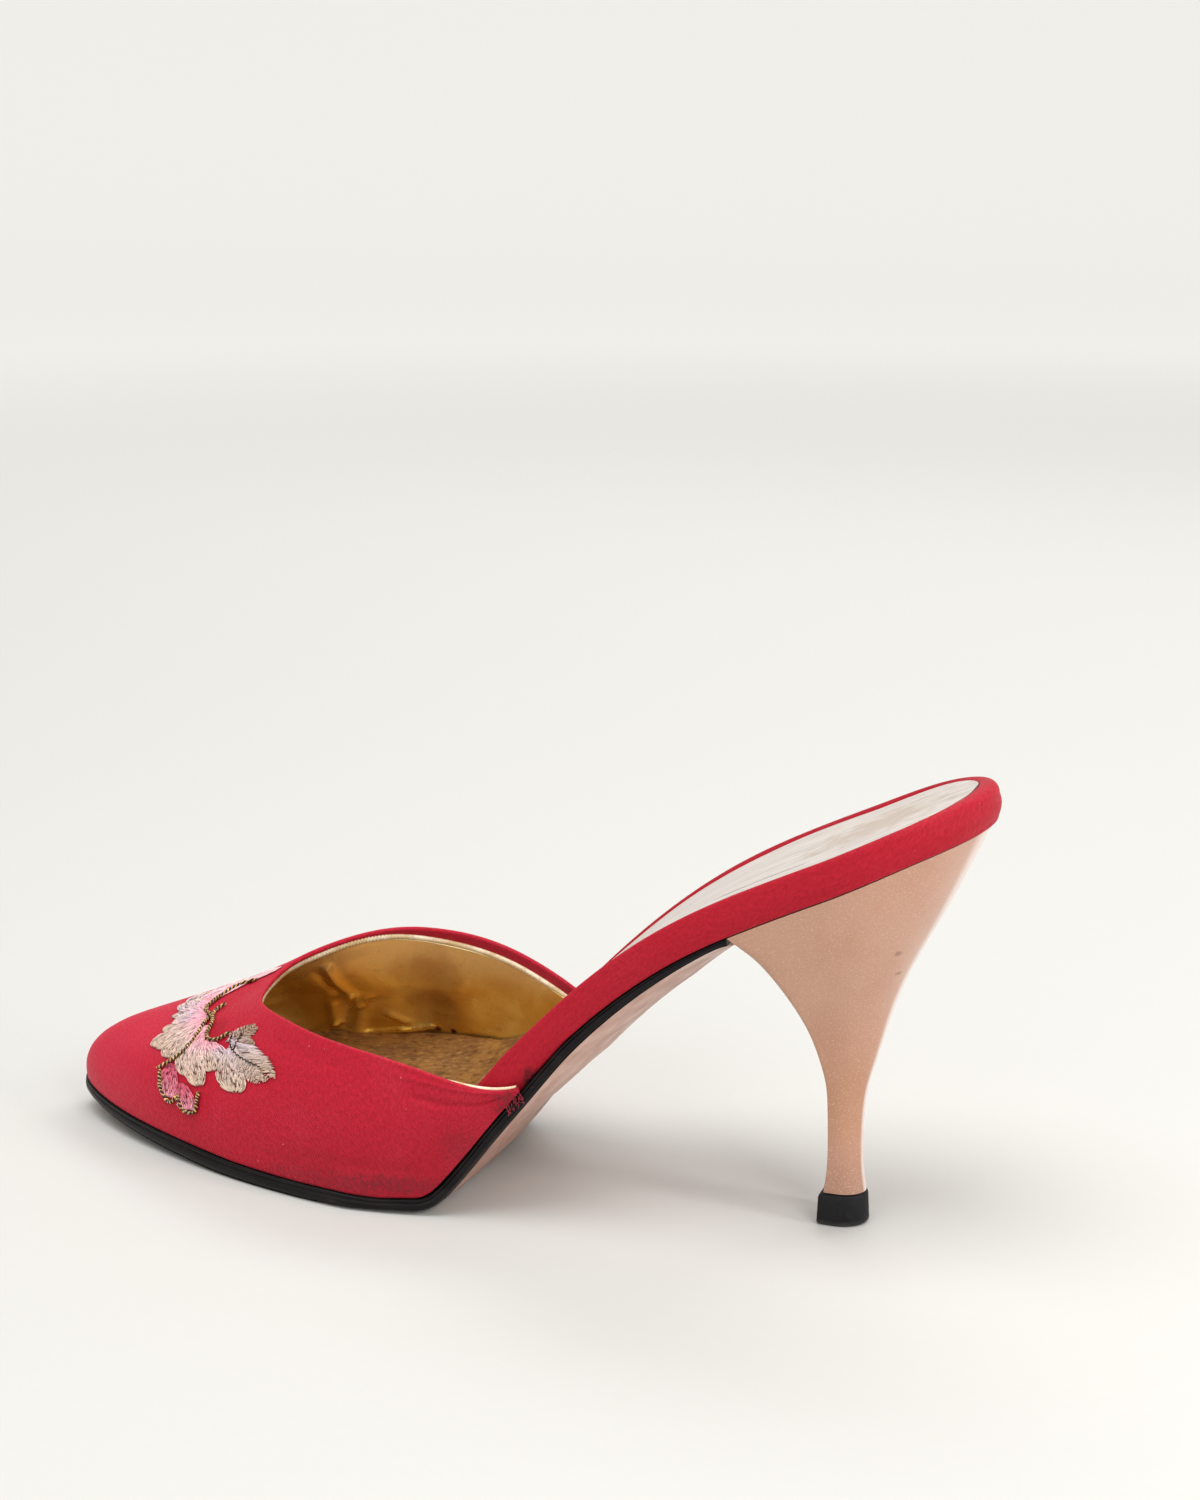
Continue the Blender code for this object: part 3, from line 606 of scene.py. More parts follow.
def vamp_wall():
    """One closed section at each place round: up the outside, over the rolled topline and down the inside."""
    turn = TURNS[:, None]
    end = top_share(turn, ROLL_RADIUS)
    outside_rise = RISES[None] * end
    outside, outward, _ = vamp_frame(turn + 0 * outside_rise, outside_rise)
    dent = creases(turn + 0 * outside_rise, outside_rise, SATIN_CREASES)
    fade = np.clip((1 - np.abs(turn)) / CREASE_END_FADE, 0, 1)
    fade = fade * np.clip(outside_rise / CREASE_FOOT_FADE, 0, 1)
    outside = outside - outward * (dent * fade)[..., None]
    edge, edge_out, edge_up = vamp_frame(turn, end)
    angle = np.radians(np.linspace(0, 180, 12))[None, 1:-1, None]
    roll = edge - edge_out * ROLL_RADIUS * (1 - np.cos(angle)) + edge_up * ROLL_RADIUS * np.sin(angle)
    inside_rise = RISES[None, ::-2] * end
    inside, inward, _ = vamp_frame(turn + 0 * inside_rise, inside_rise)
    return np.concatenate([outside, roll, inside - inward * SATIN_WALL], axis=1)


def with_ends(grid):
    """The grid with its first and its last row drawn together to a point, which closes both ends."""
    first, last = grid[..., :1, :, :], grid[..., -1:, :, :]
    first = np.broadcast_to(first.mean(axis=-2, keepdims=True), first.shape)
    last = np.broadcast_to(last.mean(axis=-2, keepdims=True), last.shape)
    return np.concatenate([first, grid, last], axis=-3)


def along_axis(tree, place, axis):
    """One coordinate of a place: X, Y or Z."""
    return shader_node(tree, "ShaderNodeSeparateXYZ", {0: place}).outputs[axis]


def stain(tree, base, mask, share, tint):
    """A tint over a colour, as strong as a mask times a share."""
    return mix_colour(tree, calculate(tree, "MULTIPLY", mask, share), base, colour(*tint))


vamp = make_piece("vamp", with_ends(vamp_wall()))

# The columns are the place, the reach, how flat the mark is along each axis, and its weight.
DIRT = [
    ((119.0, 34.5, 7.0), 10.0, (0.45, 1.0, 2.4), 0.45),
    ((108.0, 31.0, 17.0), 7.0, (0.9, 1.0, 1.2), 0.3),
    ((140.0, 35.5, 6.0), 12.0, (0.4, 1.0, 2.8), 0.35),
    ((97.5, 28.5, 27.5), 5.0, (1.0, 1.0, 1.0), 0.6),
]
# Place of a painted shade: the hollow inside the loop of the cord beside the broad petal.
PAINTED_LOOP_SHADE_PLACE = vamp_surface(np.array(-0.312), np.array(0.785))
tree, shader = new_material(
    vamp, "satin_vamp", Specular_IOR_Level=0.22, Sheen_Weight=0.15, Sheen_Roughness=0.35,
    Sheen_Tint=colour(255, 130, 145),
)
satin = place_group(tree, satin_weave, {"Fading": 0.7})
place = in_millimetres(tree)
height_up = along_axis(tree, place, "Z")
along_shoe = along_axis(tree, place, "X")
low_share = spread(tree, height_up, 30.0, 4.0, 0.05, 0.35)
knee_shade = calculate(tree, "MULTIPLY", spread(tree, along_shoe, 60.0, 0.0), low_share)
vamp_colour = mix_colour(tree, knee_shade, satin["Colour"], colour(128, 8, 26))
# Painted highlight: the red turns lighter and pinker towards the toe.
vamp_colour = wash(tree, vamp_colour, along_shoe, 62.0, 104.0, 0.4, (206, 46, 72))
for dirt_place, reach, flatten, weight in DIRT:
    mask = smudge_mask(tree, dirt_place, reach, flatten, 1.0, 0.9)
    vamp_colour = stain(tree, vamp_colour, mask, weight, (104, 30, 38))
# Painted shade: a deeper red inside the loop of the cord.
painted_loop_shade = smudge_mask(tree, PAINTED_LOOP_SHADE_PLACE, 5.0, unevenness=0.3, cloud=2.0)
vamp_colour = stain(tree, vamp_colour, painted_loop_shade, 0.6, (150, 8, 30))
vamp_colour = mix_colour(tree, smudge_mask(tree, **SMEAR), vamp_colour, SMEAR_COLOUR)
lint = noise(tree, place, 0.8, detail=1.0)
vamp_colour = wash(tree, vamp_colour, lint, 0.79, 0.86, 0.8, (226, 168, 168))
finish_shader(tree, shader, vamp_colour, satin["Roughness"], satin["Height"], 0.12)
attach(vamp, "root")
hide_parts("upper")


# Lining. Thin leather with a gold foil face, glued inside the vamp and whipped to the turned-over satin.
# Wear has lifted it off the wall in places, so it lies in soft creases down the inner side.

LINING_THICKNESS = 0.45
LINING_END = 0.985
LINING_FOOT = 0.03
LINING_BELOW_PIPING = 0.01
LINING_IN_WALL = 0.1
SLACK = 0.16
TIGHTEST = -0.15
RIPPLE = 0.6
LINING_CREASES = [
    (0.415, 0.81, 0.528, 0.56, 1.0, -1.20),
    (0.528, 0.56, 0.548, 0.47, 1.0, -1.20),
    (0.393, 0.79, 0.500, 0.55, 1.0, 0.70),
    (0.498, 0.465, 0.518, 0.32, 0.9, -1.10),
    (0.480, 0.21, 0.518, 0.32, 0.9, -1.00),
    (0.560, 0.54, 0.560, 0.265, 1.2, -1.20),
    (0.538, 0.50, 0.538, 0.30, 0.9, 0.50),
    (0.590, 0.62, 0.660, 0.60, 6.0, -1.30),
    (0.470, 0.66, 0.500, 0.72, 5.0, -0.80),
    (0.583, 0.265, 0.643, 0.300, 1.1, -1.20),
    (0.660, 0.31, 0.700, 0.345, 1.0, -1.00),
    (0.620, 0.40, 0.650, 0.360, 0.9, -0.80),
    (0.740, 0.62, 0.790, 0.400, 2.6, -0.45),
    (0.350, 0.40, 0.420, 0.300, 1.6, -0.60),
    (0.250, 0.62, 0.340, 0.480, 3.0, -1.30),
    (0.130, 0.70, 0.220, 0.520, 3.2, -1.20),
    (0.300, 0.34, 0.380, 0.240, 1.8, -0.90),
    (-0.420, 0.50, -0.520, 0.350, 2.4, -0.35),
    (-0.640, 0.55, -0.700, 0.350, 2.4, -0.35),
]
PIPING = table(
    "round turned_over",
    (-1.00, 0.2), (-0.93, 0.3), (-0.88, 0.9), (-0.82, 1.9), (-0.60, 1.9), (0.00, 1.5), (0.30, 1.6),
    (0.60, 2.2), (0.86, 3.2), (0.94, 2.2), (1.00, 0.5),
)


def piping_rise(turn):
    """The rise of the piping: below the topline by the width of satin that is turned over."""
    return top_share(turn, smooth(turn, PIPING["round"], PIPING["turned_over"]))


def lining_sheet():
    """A thin closed sheet inside the wall. Its face stands off by the slack, with ripples and the creases."""
    turn = np.linspace(-LINING_END, LINING_END, 300)[:, None]
    rise = np.linspace(LINING_FOOT, 1.0, 90)[None] * (piping_rise(turn) - LINING_BELOW_PIPING)
    turn = turn + 0 * rise
    outside, outward, _ = vamp_frame(turn, rise)
    ends = np.clip((LINING_END - np.abs(turn)) / 0.05, 0, 1) * np.clip((1 - rise) / 0.08, 0, 1)
    over, up = turn * ROUND_MM, rise * RISE_MM
    ripple = RIPPLE * np.sin(over / 3.1 + 1.4 * np.sin(up / 5.0))
    ripple = ripple * np.sin(up / 4.3 + 1.1 * np.sin(over / 6.0))
    loose = np.maximum(SLACK + SLACK * ripple - creases(turn, rise, LINING_CREASES), TIGHTEST)
    face = WALL - LINING_IN_WALL + loose * ends
    front = outside - outward * face[..., None]
    back = outside - outward * (WALL - LINING_IN_WALL - LINING_THICKNESS)
    return np.concatenate([front, back[:, ::-1]], axis=1)


def lining_place(turn, rise):
    """A place on the face of the lining: one wall in from the outside of the vamp."""
    outside, outward, _ = vamp_frame(np.array(turn), np.array(rise))
    return outside - outward * WALL


lining = make_piece("lining", with_ends(lining_sheet()))

HOLES = [(0.712, 0.338), (0.741, 0.338)]
TARNISH = [(0.70, 0.66, 14.0), (0.71, 0.44, 12.0)]
tree, shader = new_material(lining, "gold_lining", Metallic=0.72, Specular_IOR_Level=0.5)
place = in_millimetres(tree)
grain = noise(tree, place, 0.7, detail=4.0)
wear = noise(tree, place, 11.0, detail=2.0, uneven=0.4)
fine_wear = noise(tree, place, 2.4, detail=5.0, stretch=(3.0, 1.0, 1.0))
foil = wash(tree, colour(224, 170, 62), wear, 0.3, 0.7, 1.0, (252, 216, 116))
foil = wash(tree, foil, fine_wear, 0.55, 0.8, 0.3, (150, 92, 24))
# Painted highlight: the foil turns paler towards the top of the wall.
foil = wash(tree, foil, along_axis(tree, place, "Z"), 30.0, 42.0, 0.9, (255, 236, 176))
foil = wash(tree, foil, grain, 0.58, 0.78, 0.3, (130, 78, 24))
for hole_round, hole_rise in HOLES:
    hole = smudge_mask(tree, lining_place(hole_round, hole_rise), 1.5, (1.0, 0.4, 1.3), 0.25, 1.0)
    foil = mix_colour(tree, hole, foil, colour(16, 9, 6))
for tarnish_round, tarnish_rise, reach in TARNISH:
    tarnish = smudge_mask(tree, lining_place(tarnish_round, tarnish_rise), reach, (1.0, 0.5, 1.0), 0.35, 6.0)
    foil = stain(tree, foil, tarnish, 0.45, (150, 86, 24))
finish_shader(tree, shader, foil, spread(tree, wear, 0.3, 0.7, 0.2, 0.32), grain, 0.04)
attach(lining, "root")


# Piping. A pale gold cord whipped over the join of satin and lining just inside the topline. Along the front
# of the throat the whip stitches make it a row of small beads, and down the wings it lies as a smooth strip.

PIPING_RADIUS = 0.62
PIPING_END = 0.995
PIPING_SINK = 0.35
PIPING_SIDES = 14
BEAD_PITCH = 0.85
BEAD_DEPTH = 0.34
BEAD_SWELL = 0.34
BEADS_END = 0.62
BEADS_FADE = 0.12
WING_FROM = 0.9
WING_FADE = 0.08
WING_THINNING = 0.3
NEAR_WING_FROM = 0.78
NEAR_WING_FADE = 0.1
NEAR_WING_THINNING = 0.2


def piping_cord():
    """A round profile carried along the topline, its radius swelling once for every whip stitch.

    Towards the ends of the wings it thins and lies closer to the outside.
    """
    turn = np.linspace(-PIPING_END, PIPING_END, 1500)
    outside, outward, up_vamp = vamp_frame(turn, piping_rise(turn))
    end = np.clip((np.abs(turn) - WING_FROM) / WING_FADE, 0, 1)[:, None]
    path = outside - outward * (WALL - PIPING_SINK - 0.5 * end) + up_vamp * 0.2 * end
    travelled = np.concatenate([[0], np.linalg.norm(np.diff(path, axis=0), axis=1).cumsum()])
    beads = np.clip((BEADS_END - np.abs(turn)) / BEADS_FADE, 0, 1)
    near_wing = np.clip((-turn - NEAR_WING_FROM) / NEAR_WING_FADE, 0, 1)
    thin = 1 - WING_THINNING * end[:, 0] - NEAR_WING_THINNING * near_wing + BEAD_SWELL * beads
    radius = PIPING_RADIUS * thin * (1 - BEAD_DEPTH * beads * np.cos(np.pi * travelled / BEAD_PITCH) ** 2)
    angle = np.linspace(0, 2 * np.pi, PIPING_SIDES, endpoint=False)
    lift = outward[:, None] * np.cos(angle)[:, None] + up_vamp[:, None] * np.sin(angle)[:, None] * 1.15
    return path[:, None] + radius[:, None, None] * lift


piping = make_piece("piping", with_ends(piping_cord()))
tree, shader = new_material(piping, "piping_gold", Metallic=0.15, Specular_IOR_Level=0.5)
place = in_millimetres(tree)
twist = noise(tree, place, 0.5, detail=3.0)
soil = noise(tree, place, 5.0, detail=4.0)
cord_colour = wash(tree, colour(238, 224, 194), soil, 0.35, 0.7, 1.0, (208, 180, 130))
cord_colour = wash(tree, cord_colour, twist, 0.5, 0.75, 0.6, (150, 112, 66))
finish_shader(tree, shader, cord_colour, spread(tree, soil, 0.3, 0.7, 0.45, 0.6), twist, 0.08)
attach(piping, "root")


# Flower threads. Silky embroidery thread in long and short stitches through the satin: a broad petal over the
# crest of the vamp, a petal of four lobes beside it, a leaf, and a rose bud below.

FLOWER_SCALE = np.array([85.0, 52.0])
FLOWER_TOP = 0.992
THREAD_PITCH = 0.22
THREAD_RADIUS = 0.125
THREAD_CROWDING = 1.05
STITCH_LENGTH = 2.3
STITCH_WAY = np.linspace(0, 1, 5)
STITCH_SIDES = 5
STITCH_ASIDE = (-0.6, 0.6)
STITCH_START = (-0.55, 0.35)
STITCH_REACH = (1.1, 1.6)
RAGGED_TIP = (0.972, 0.998)
STITCH_LIFT = 0.12
STITCH_ARCH = 0.16
LAYER_LIFT = 0.10
PETAL_FULLNESS = 0.6
TONE_WANDER = 0.06
LIGHT_SPREAD = 0.2
LIGHT_LIMITS = (0.55, 1.5)
DARK_SHARE = 0.10
DARK_LIGHT = 0.42
PAINTED_END_SHADE = 0.68
SHADES = {
    "cream": {0: (240, 150, 168), 0.25: (232, 178, 186), 0.5: (218, 190, 178), 1: (206, 178, 156)},
    "blush": {0: (242, 152, 170), 0.35: (236, 174, 186), 0.65: (214, 192, 202), 1: (214, 186, 166)},
    "crest": {0: (238, 150, 170), 0.5: (240, 184, 192), 1: (240, 212, 208)},
    "taupe": {0: (192, 166, 172), 0.3: (186, 158, 144), 0.7: (166, 136, 114), 1: (182, 154, 130)},
    "dove": {0: (210, 190, 198), 0.4: (200, 176, 166), 1: (196, 168, 144)},
    "ivory": {0: (206, 184, 194), 0.35: (212, 188, 178), 1: (208, 184, 160)},
    "rose": {0: (160, 30, 54), 0.35: (214, 96, 120), 1: (236, 164, 178)},
}

# The columns are the shade, round and rise of the root, round and rise of the tip, the width and the layer.
PETALS = [
    ("crest", -0.045, 0.775, 0.116, 0.838, 6.0, 0),
    ("crest", -0.100, 0.756, 0.082, 0.897, 6.2, 1),
    ("crest", 0.000, 0.830, 0.114, 0.978, 5.2, 1),
    ("blush", -0.120, 0.770, 0.048, 0.738, 6.2, 0),
    ("blush", -0.150, 0.780, -0.012, 0.708, 6.6, 1),
    ("blush", -0.165, 0.788, -0.080, 0.676, 6.8, 1),
    ("blush", -0.185, 0.792, -0.134, 0.656, 7.2, 2),
    ("cream", -0.200, 0.797, -0.192, 0.582, 7.6, 1),
    ("cream", -0.230, 0.782, -0.318, 0.480, 6.4, 1),
    ("cream", -0.210, 0.802, -0.252, 0.490, 8.2, 2),
    ("blush", -0.355, 0.705, -0.448, 0.635, 5.0, 0),
    ("cream", -0.340, 0.700, -0.452, 0.530, 5.2, 1),
    ("cream", -0.305, 0.730, -0.450, 0.402, 6.0, 2),
    ("cream", -0.268, 0.775, -0.404, 0.432, 5.8, 1),
    ("ivory", -0.436, 0.735, -0.536, 0.458, 7.6, 1),
    ("rose", -0.345, 0.480, -0.394, 0.240, 5.6, 1),
    ("rose", -0.404, 0.385, -0.452, 0.216, 5.8, 1),
]
LEAVES = [
    ("taupe", -0.402, 0.735, -0.426, 0.905, 8.4, 0),
    ("taupe", -0.415, 0.775, -0.490, 0.780, 6.2, 0),
    ("dove", -0.402, 0.768, -0.608, 0.620, 12.0, 2),
    ("ivory", -0.425, 0.725, -0.585, 0.575, 8.4, 1),
]
LEAF_SLANT = 0.30
LEAF_POINT = 0.45
LEAF_ROWS = 4.0
LEAF_SHIFT = (-0.03, 0.03)
INNER_ROW_FIRST, INNER_ROW_LAST = (-0.25, 0.2), (0.45, 0.75)
OUTER_ROW_FIRST, OUTER_ROW_LAST = (0.3, 0.6), (0.8, 1.12)
THREAD_SEED = 11


def thread_tubes(centre, outward, radius, flat=0.85):
    """Round sections carried along many short paths at once, a little flattened on to the cloth."""
    ahead = np.gradient(centre, axis=-2)
    aside = np.cross(ahead, outward)
    aside /= np.maximum(np.linalg.norm(aside, axis=-1, keepdims=True), 1e-9)
    angle = np.linspace(0, 2 * np.pi, STITCH_SIDES, endpoint=False)[:, None]
    lift = aside[..., None, :] * np.cos(angle) + outward[..., None, :] * np.sin(angle) * flat
    return centre[..., None, :] + radius[..., None, None] * lift


def petal_axis(root_round, root_rise, tip_round, tip_rise):
    """Root, axis, length and sideways direction of a petal, in millimetres on the flattened vamp."""
    root = np.array([root_round, root_rise]) * FLOWER_SCALE
    axis = np.array([tip_round, tip_rise]) * FLOWER_SCALE - root
    length = np.linalg.norm(axis)
    return root, axis, length, np.array([-axis[1], axis[0]]) / length


def petal_half_width(along, width):
    """It grows as the square root of the way along, and closes at the tip."""
    return PETAL_FULLNESS * width * np.sqrt(along) * np.sqrt(1 - along**4)


def lay_stitches(flat, middle, shade, layer, random):
    """Threads along lines on the flattened vamp, arched off the cloth, each in one shade of its petal.

    The shade comes from the middle of the stitch. Each stitch is lighter or darker by chance, a few are much
    darker, and all are darker at their ends, as painted shade where they go into the cloth.
    """
    turn, rise = np.moveaxis(flat / FLOWER_SCALE, -1, 0)
    ground, outward, _ = vamp_frame(turn, np.minimum(rise, FLOWER_TOP))
    lift = STITCH_LIFT + layer * LAYER_LIFT + STITCH_ARCH * np.sin(np.pi * STITCH_WAY)
    taper = THREAD_RADIUS * np.sqrt(1 - np.abs(2 * STITCH_WAY - 1) ** 5)
    tubes = thread_tubes(ground + outward * lift[:, None], outward, np.broadcast_to(taper, turn.shape))
    places, tones = zip(*SHADES[shade].items())
    lights = np.array([colour(*tone) for tone in tones])
    middle = middle + random.normal(0, TONE_WANDER, len(middle))
    stitch = np.stack([np.interp(middle, places, lights[:, channel]) for channel in range(3)], axis=1)
    stitch = stitch * np.clip(random.normal(1, LIGHT_SPREAD, (len(middle), 1)), *LIGHT_LIMITS)
    stitch = stitch * np.where(random.random((len(middle), 1)) < DARK_SHARE, DARK_LIGHT, 1.0)
    # Painted shade: each stitch darker towards both ends, where it goes into the cloth.
    ends = PAINTED_END_SHADE + (1 - PAINTED_END_SHADE) * np.sin(np.pi * STITCH_WAY) ** 0.5
    shaded = stitch[:, None, None] * np.broadcast_to(ends[:, None, None], tubes.shape[1:3] + (1,))
    return tubes, np.concatenate([shaded, np.ones(shaded.shape[:3] + (1,))], axis=3)


def petal_stitches(shade, root_round, root_rise, tip_round, tip_rise, width, layer, random):
    """Long and short stitches that run from the root of a petal to its tip and spread with its width."""
    root, axis, length, aside = petal_axis(root_round, root_rise, tip_round, tip_rise)
    lines = int(round(THREAD_CROWDING * width / THREAD_PITCH))
    per_line = max(2, int(round(length / STITCH_LENGTH)))
    shape = (lines, per_line)
    across = np.linspace(-0.98, 0.98, lines)[:, None] + random.uniform(*STITCH_ASIDE, shape) / lines
    start = (np.arange(per_line) + random.uniform(*STITCH_START, shape)) / per_line
    stop = start + random.uniform(*STITCH_REACH, shape) / per_line
    ragged = random.uniform(*RAGGED_TIP, shape)
    start = np.clip(start, 0.02, 0.9).ravel()
    stop = np.minimum(np.maximum(stop, 0.06), ragged).ravel()
    along = start[:, None] + (stop - start)[:, None] * STITCH_WAY
    off_middle = across.reshape(-1, 1) * petal_half_width(along, width)
    flat = root + along[..., None] * axis + off_middle[..., None] * aside
    return lay_stitches(flat, (start + stop) / 2, shade, layer, random)


def leaf_stitches(shade, root_round, root_rise, tip_round, tip_rise, width, layer, random):
    """Two rows of stitches that slant from the vein of a leaf to its edge, in turn on either side of it."""
    root, axis, length, aside = petal_axis(root_round, root_rise, tip_round, tip_rise)
    count = int(LEAF_ROWS * length / THREAD_PITCH)
    start = np.linspace(0.03, 0.93, count) + random.uniform(*LEAF_SHIFT, count)
    side = np.where(np.arange(count) % 2 == 0, 1.0, -1.0)
    outer_row = np.arange(count) // 2 % 2 == 1
    ranges = (OUTER_ROW_FIRST, INNER_ROW_FIRST, OUTER_ROW_LAST, INNER_ROW_LAST)
    outer_first, inner_first, outer_last, inner_last = (random.uniform(*limits, count) for limits in ranges)
    first = np.where(outer_row, outer_first, inner_first)
    last = np.where(outer_row, outer_last, inner_last)
    out = first[:, None] + (last - first)[:, None] * STITCH_WAY
    along = np.clip(start[:, None] + LEAF_SLANT * (1.05 - start[:, None]) * out, 0.0, 0.995)
    off_middle = side[:, None] * out * petal_half_width(along, width) * (1 - LEAF_POINT * along**2)
    flat = root + along[..., None] * axis + off_middle[..., None] * aside
    return lay_stitches(flat, start, shade, layer, random)


random = np.random.default_rng(THREAD_SEED)
stitches = [petal_stitches(*petal, random) for petal in PETALS]
stitches += [leaf_stitches(*leaf, random) for leaf in LEAVES]
flower_threads = make_piece(
    "flower_threads",
    np.concatenate([tubes for tubes, _ in stitches]),
    layers={"thread_colour": np.concatenate([tones for _, tones in stitches])},
)


def thread_material(piece, name, roughness):
    """Dyed thread: its own colour, made uneven by fine lint, with the soft gloss of silk."""
    tree, shader = new_material(piece, name, Specular_IOR_Level=0.35, Sheen_Weight=0.08, Sheen_Roughness=0.4)
    dye = shader_node(tree, "ShaderNodeAttribute", attribute_name="thread_colour").outputs["Color"]
    fibre = noise(tree, in_millimetres(tree), 0.35, detail=3.0)
    dye = mix_colour(tree, spread(tree, fibre, 0.5, 0.8, 0.0, 0.5), dye, colour(120, 80, 70), "MULTIPLY")
    finish_shader(tree, shader, dye, spread(tree, fibre, 0.3, 0.7, roughness, roughness + 0.15), fibre, 0.03)


thread_material(flower_threads, "embroidery_thread", 0.42)
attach(flower_threads, "root")
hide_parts("embroidery")


# Flower cord. A twist of one gold and one black thread, laid on the satin and caught down by small stitches.
# It outlines the broad petal, the loop beside it and the bud, and a dark thread makes the leaf's veins.

CORD_PITCH = 1.15
CORD_POINTS = 150
CORD_LIFT = 0.6
STRAND_RADIUS = 0.24
VEIN_RADIUS = 0.16
VEIN_LIFT = 0.62
GOLD_THREAD = (196, 160, 98)
BLACK_THREAD = (44, 32, 24)
CORDS = [
    [(-0.323, 0.392), (-0.335, 0.482), (-0.336, 0.572), (-0.319, 0.652), (-0.276, 0.736), (-0.245, 0.770),
     (-0.205, 0.814), (-0.165, 0.845), (-0.150, 0.872)],
    [(-0.190, 0.805), (-0.141, 0.788), (-0.088, 0.810), (-0.049, 0.836), (-0.011, 0.862), (0.018, 0.892),
     (0.020, 0.942)],
    [(-0.205, 0.814), (-0.275, 0.788), (-0.316, 0.740), (-0.357, 0.710), (-0.375, 0.734), (-0.379, 0.776),
     (-0.386, 0.800)],
    [(-0.334, 0.396), (-0.354, 0.322), (-0.377, 0.258), (-0.401, 0.222), (-0.415, 0.288)],
    [(-0.415, 0.288), (-0.426, 0.250), (-0.445, 0.206), (-0.460, 0.212), (-0.466, 0.290), (-0.458, 0.372)],
]
VEINS = [
    [(-0.396, 0.790), (-0.420, 0.745), (-0.460, 0.702), (-0.512, 0.680), (-0.556, 0.676)],
    [(-0.452, 0.716), (-0.434, 0.768), (-0.421, 0.826)],
]


def laid_path(places):
    """A smooth line through places on the vamp, with points evenly spaced along it."""
    places = np.array(places)
    way = np.concatenate([[0], np.linalg.norm(np.diff(places * FLOWER_SCALE, axis=0), axis=1).cumsum()])
    at = np.linspace(0, way[-1], CORD_POINTS)
    return smooth(at, way, places[:, 0]), smooth(at, way, places[:, 1]), at


def strand(places, radius, phase, lift, tone, random):
    """One thread of a twist: it winds round the line about once in every pitch and tapers at both ends.

    Sine waves make the winding and the width wander, and chance makes its colour uneven.
    """
    turn, rise, at = laid_path(places)
    ground, outward, _ = vamp_frame(turn, np.minimum(rise, FLOWER_TOP))
    aside = np.cross(np.gradient(ground, axis=0), outward)
    aside /= np.linalg.norm(aside, axis=1)[:, None]
    wind = 2 * np.pi * at / CORD_PITCH + phase + 0.9 * np.sin(at / 0.9) + 0.7 * np.sin(at / 2.3 + 1.0)
    raised, swung = lift + radius * np.sin(wind), radius * np.cos(wind)
    centre = ground + outward * raised[:, None] + aside * swung[:, None]
    lumps = 1 + 0.26 * np.sin(at / 0.41 + phase) * np.sin(at / 0.93 + 2 * phase)
    width = radius * lumps * np.sqrt(1 - np.abs(2 * at / at[-1] - 1) ** 40)
    tube = thread_tubes(centre, outward, width, 1.0)
    light = np.array(colour(*tone))
    uneven = np.clip(random.normal(1, 0.5, len(at)), 0.3, 1.9)
    light = np.concatenate([light[:3] * uneven[:, None], np.ones((len(at), 1))], axis=1)
    return tube, np.broadcast_to(light[:, None], tube.shape[:2] + (4,))


cord_strands = []
for places in CORDS:
    cord_strands.append(strand(places, STRAND_RADIUS, 0.0, CORD_LIFT, GOLD_THREAD, random))
    cord_strands.append(strand(places, STRAND_RADIUS, np.pi, CORD_LIFT, BLACK_THREAD, random))
for places in VEINS:
    cord_strands.append(strand(places, VEIN_RADIUS, 0.0, VEIN_LIFT, BLACK_THREAD, random))
flower_cord = make_piece(
    "flower_cord",
    np.stack([tube for tube, _ in cord_strands]),
    layers={"thread_colour": np.stack([tone for _, tone in cord_strands])},
)
thread_material(flower_cord, "twisted_cord", 0.36)
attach(flower_cord, "root")


# Sock. Thin pale leather with a gold foil face, glued to the footbed inside its rim. The foil has worn to
# ivory under the heel of the foot and to brown patches under the ball.

SOCK_EDGE = table(
    "x inset lift",
    (0, 4.5, -0.5), (7, 3.6, -0.5), (14, 2.6, -0.5), (92, 2.5, -0.5), (98, 2.2, -0.3), (107, 1.2, 0.15),
    (116, -0.3, 0.4), (222, -0.3, 0.4),
)
SOCK_THICKNESS = 0.8
SOCK_FROM_BACK = 0.4
SOCK_SHORT_OF_TOE = 6.0
SOCK_WIDTH = 52.0
EDGE_ROUND = 0.7
EDGE_DROP = 0.35
EDGE_WAVE = 0.10


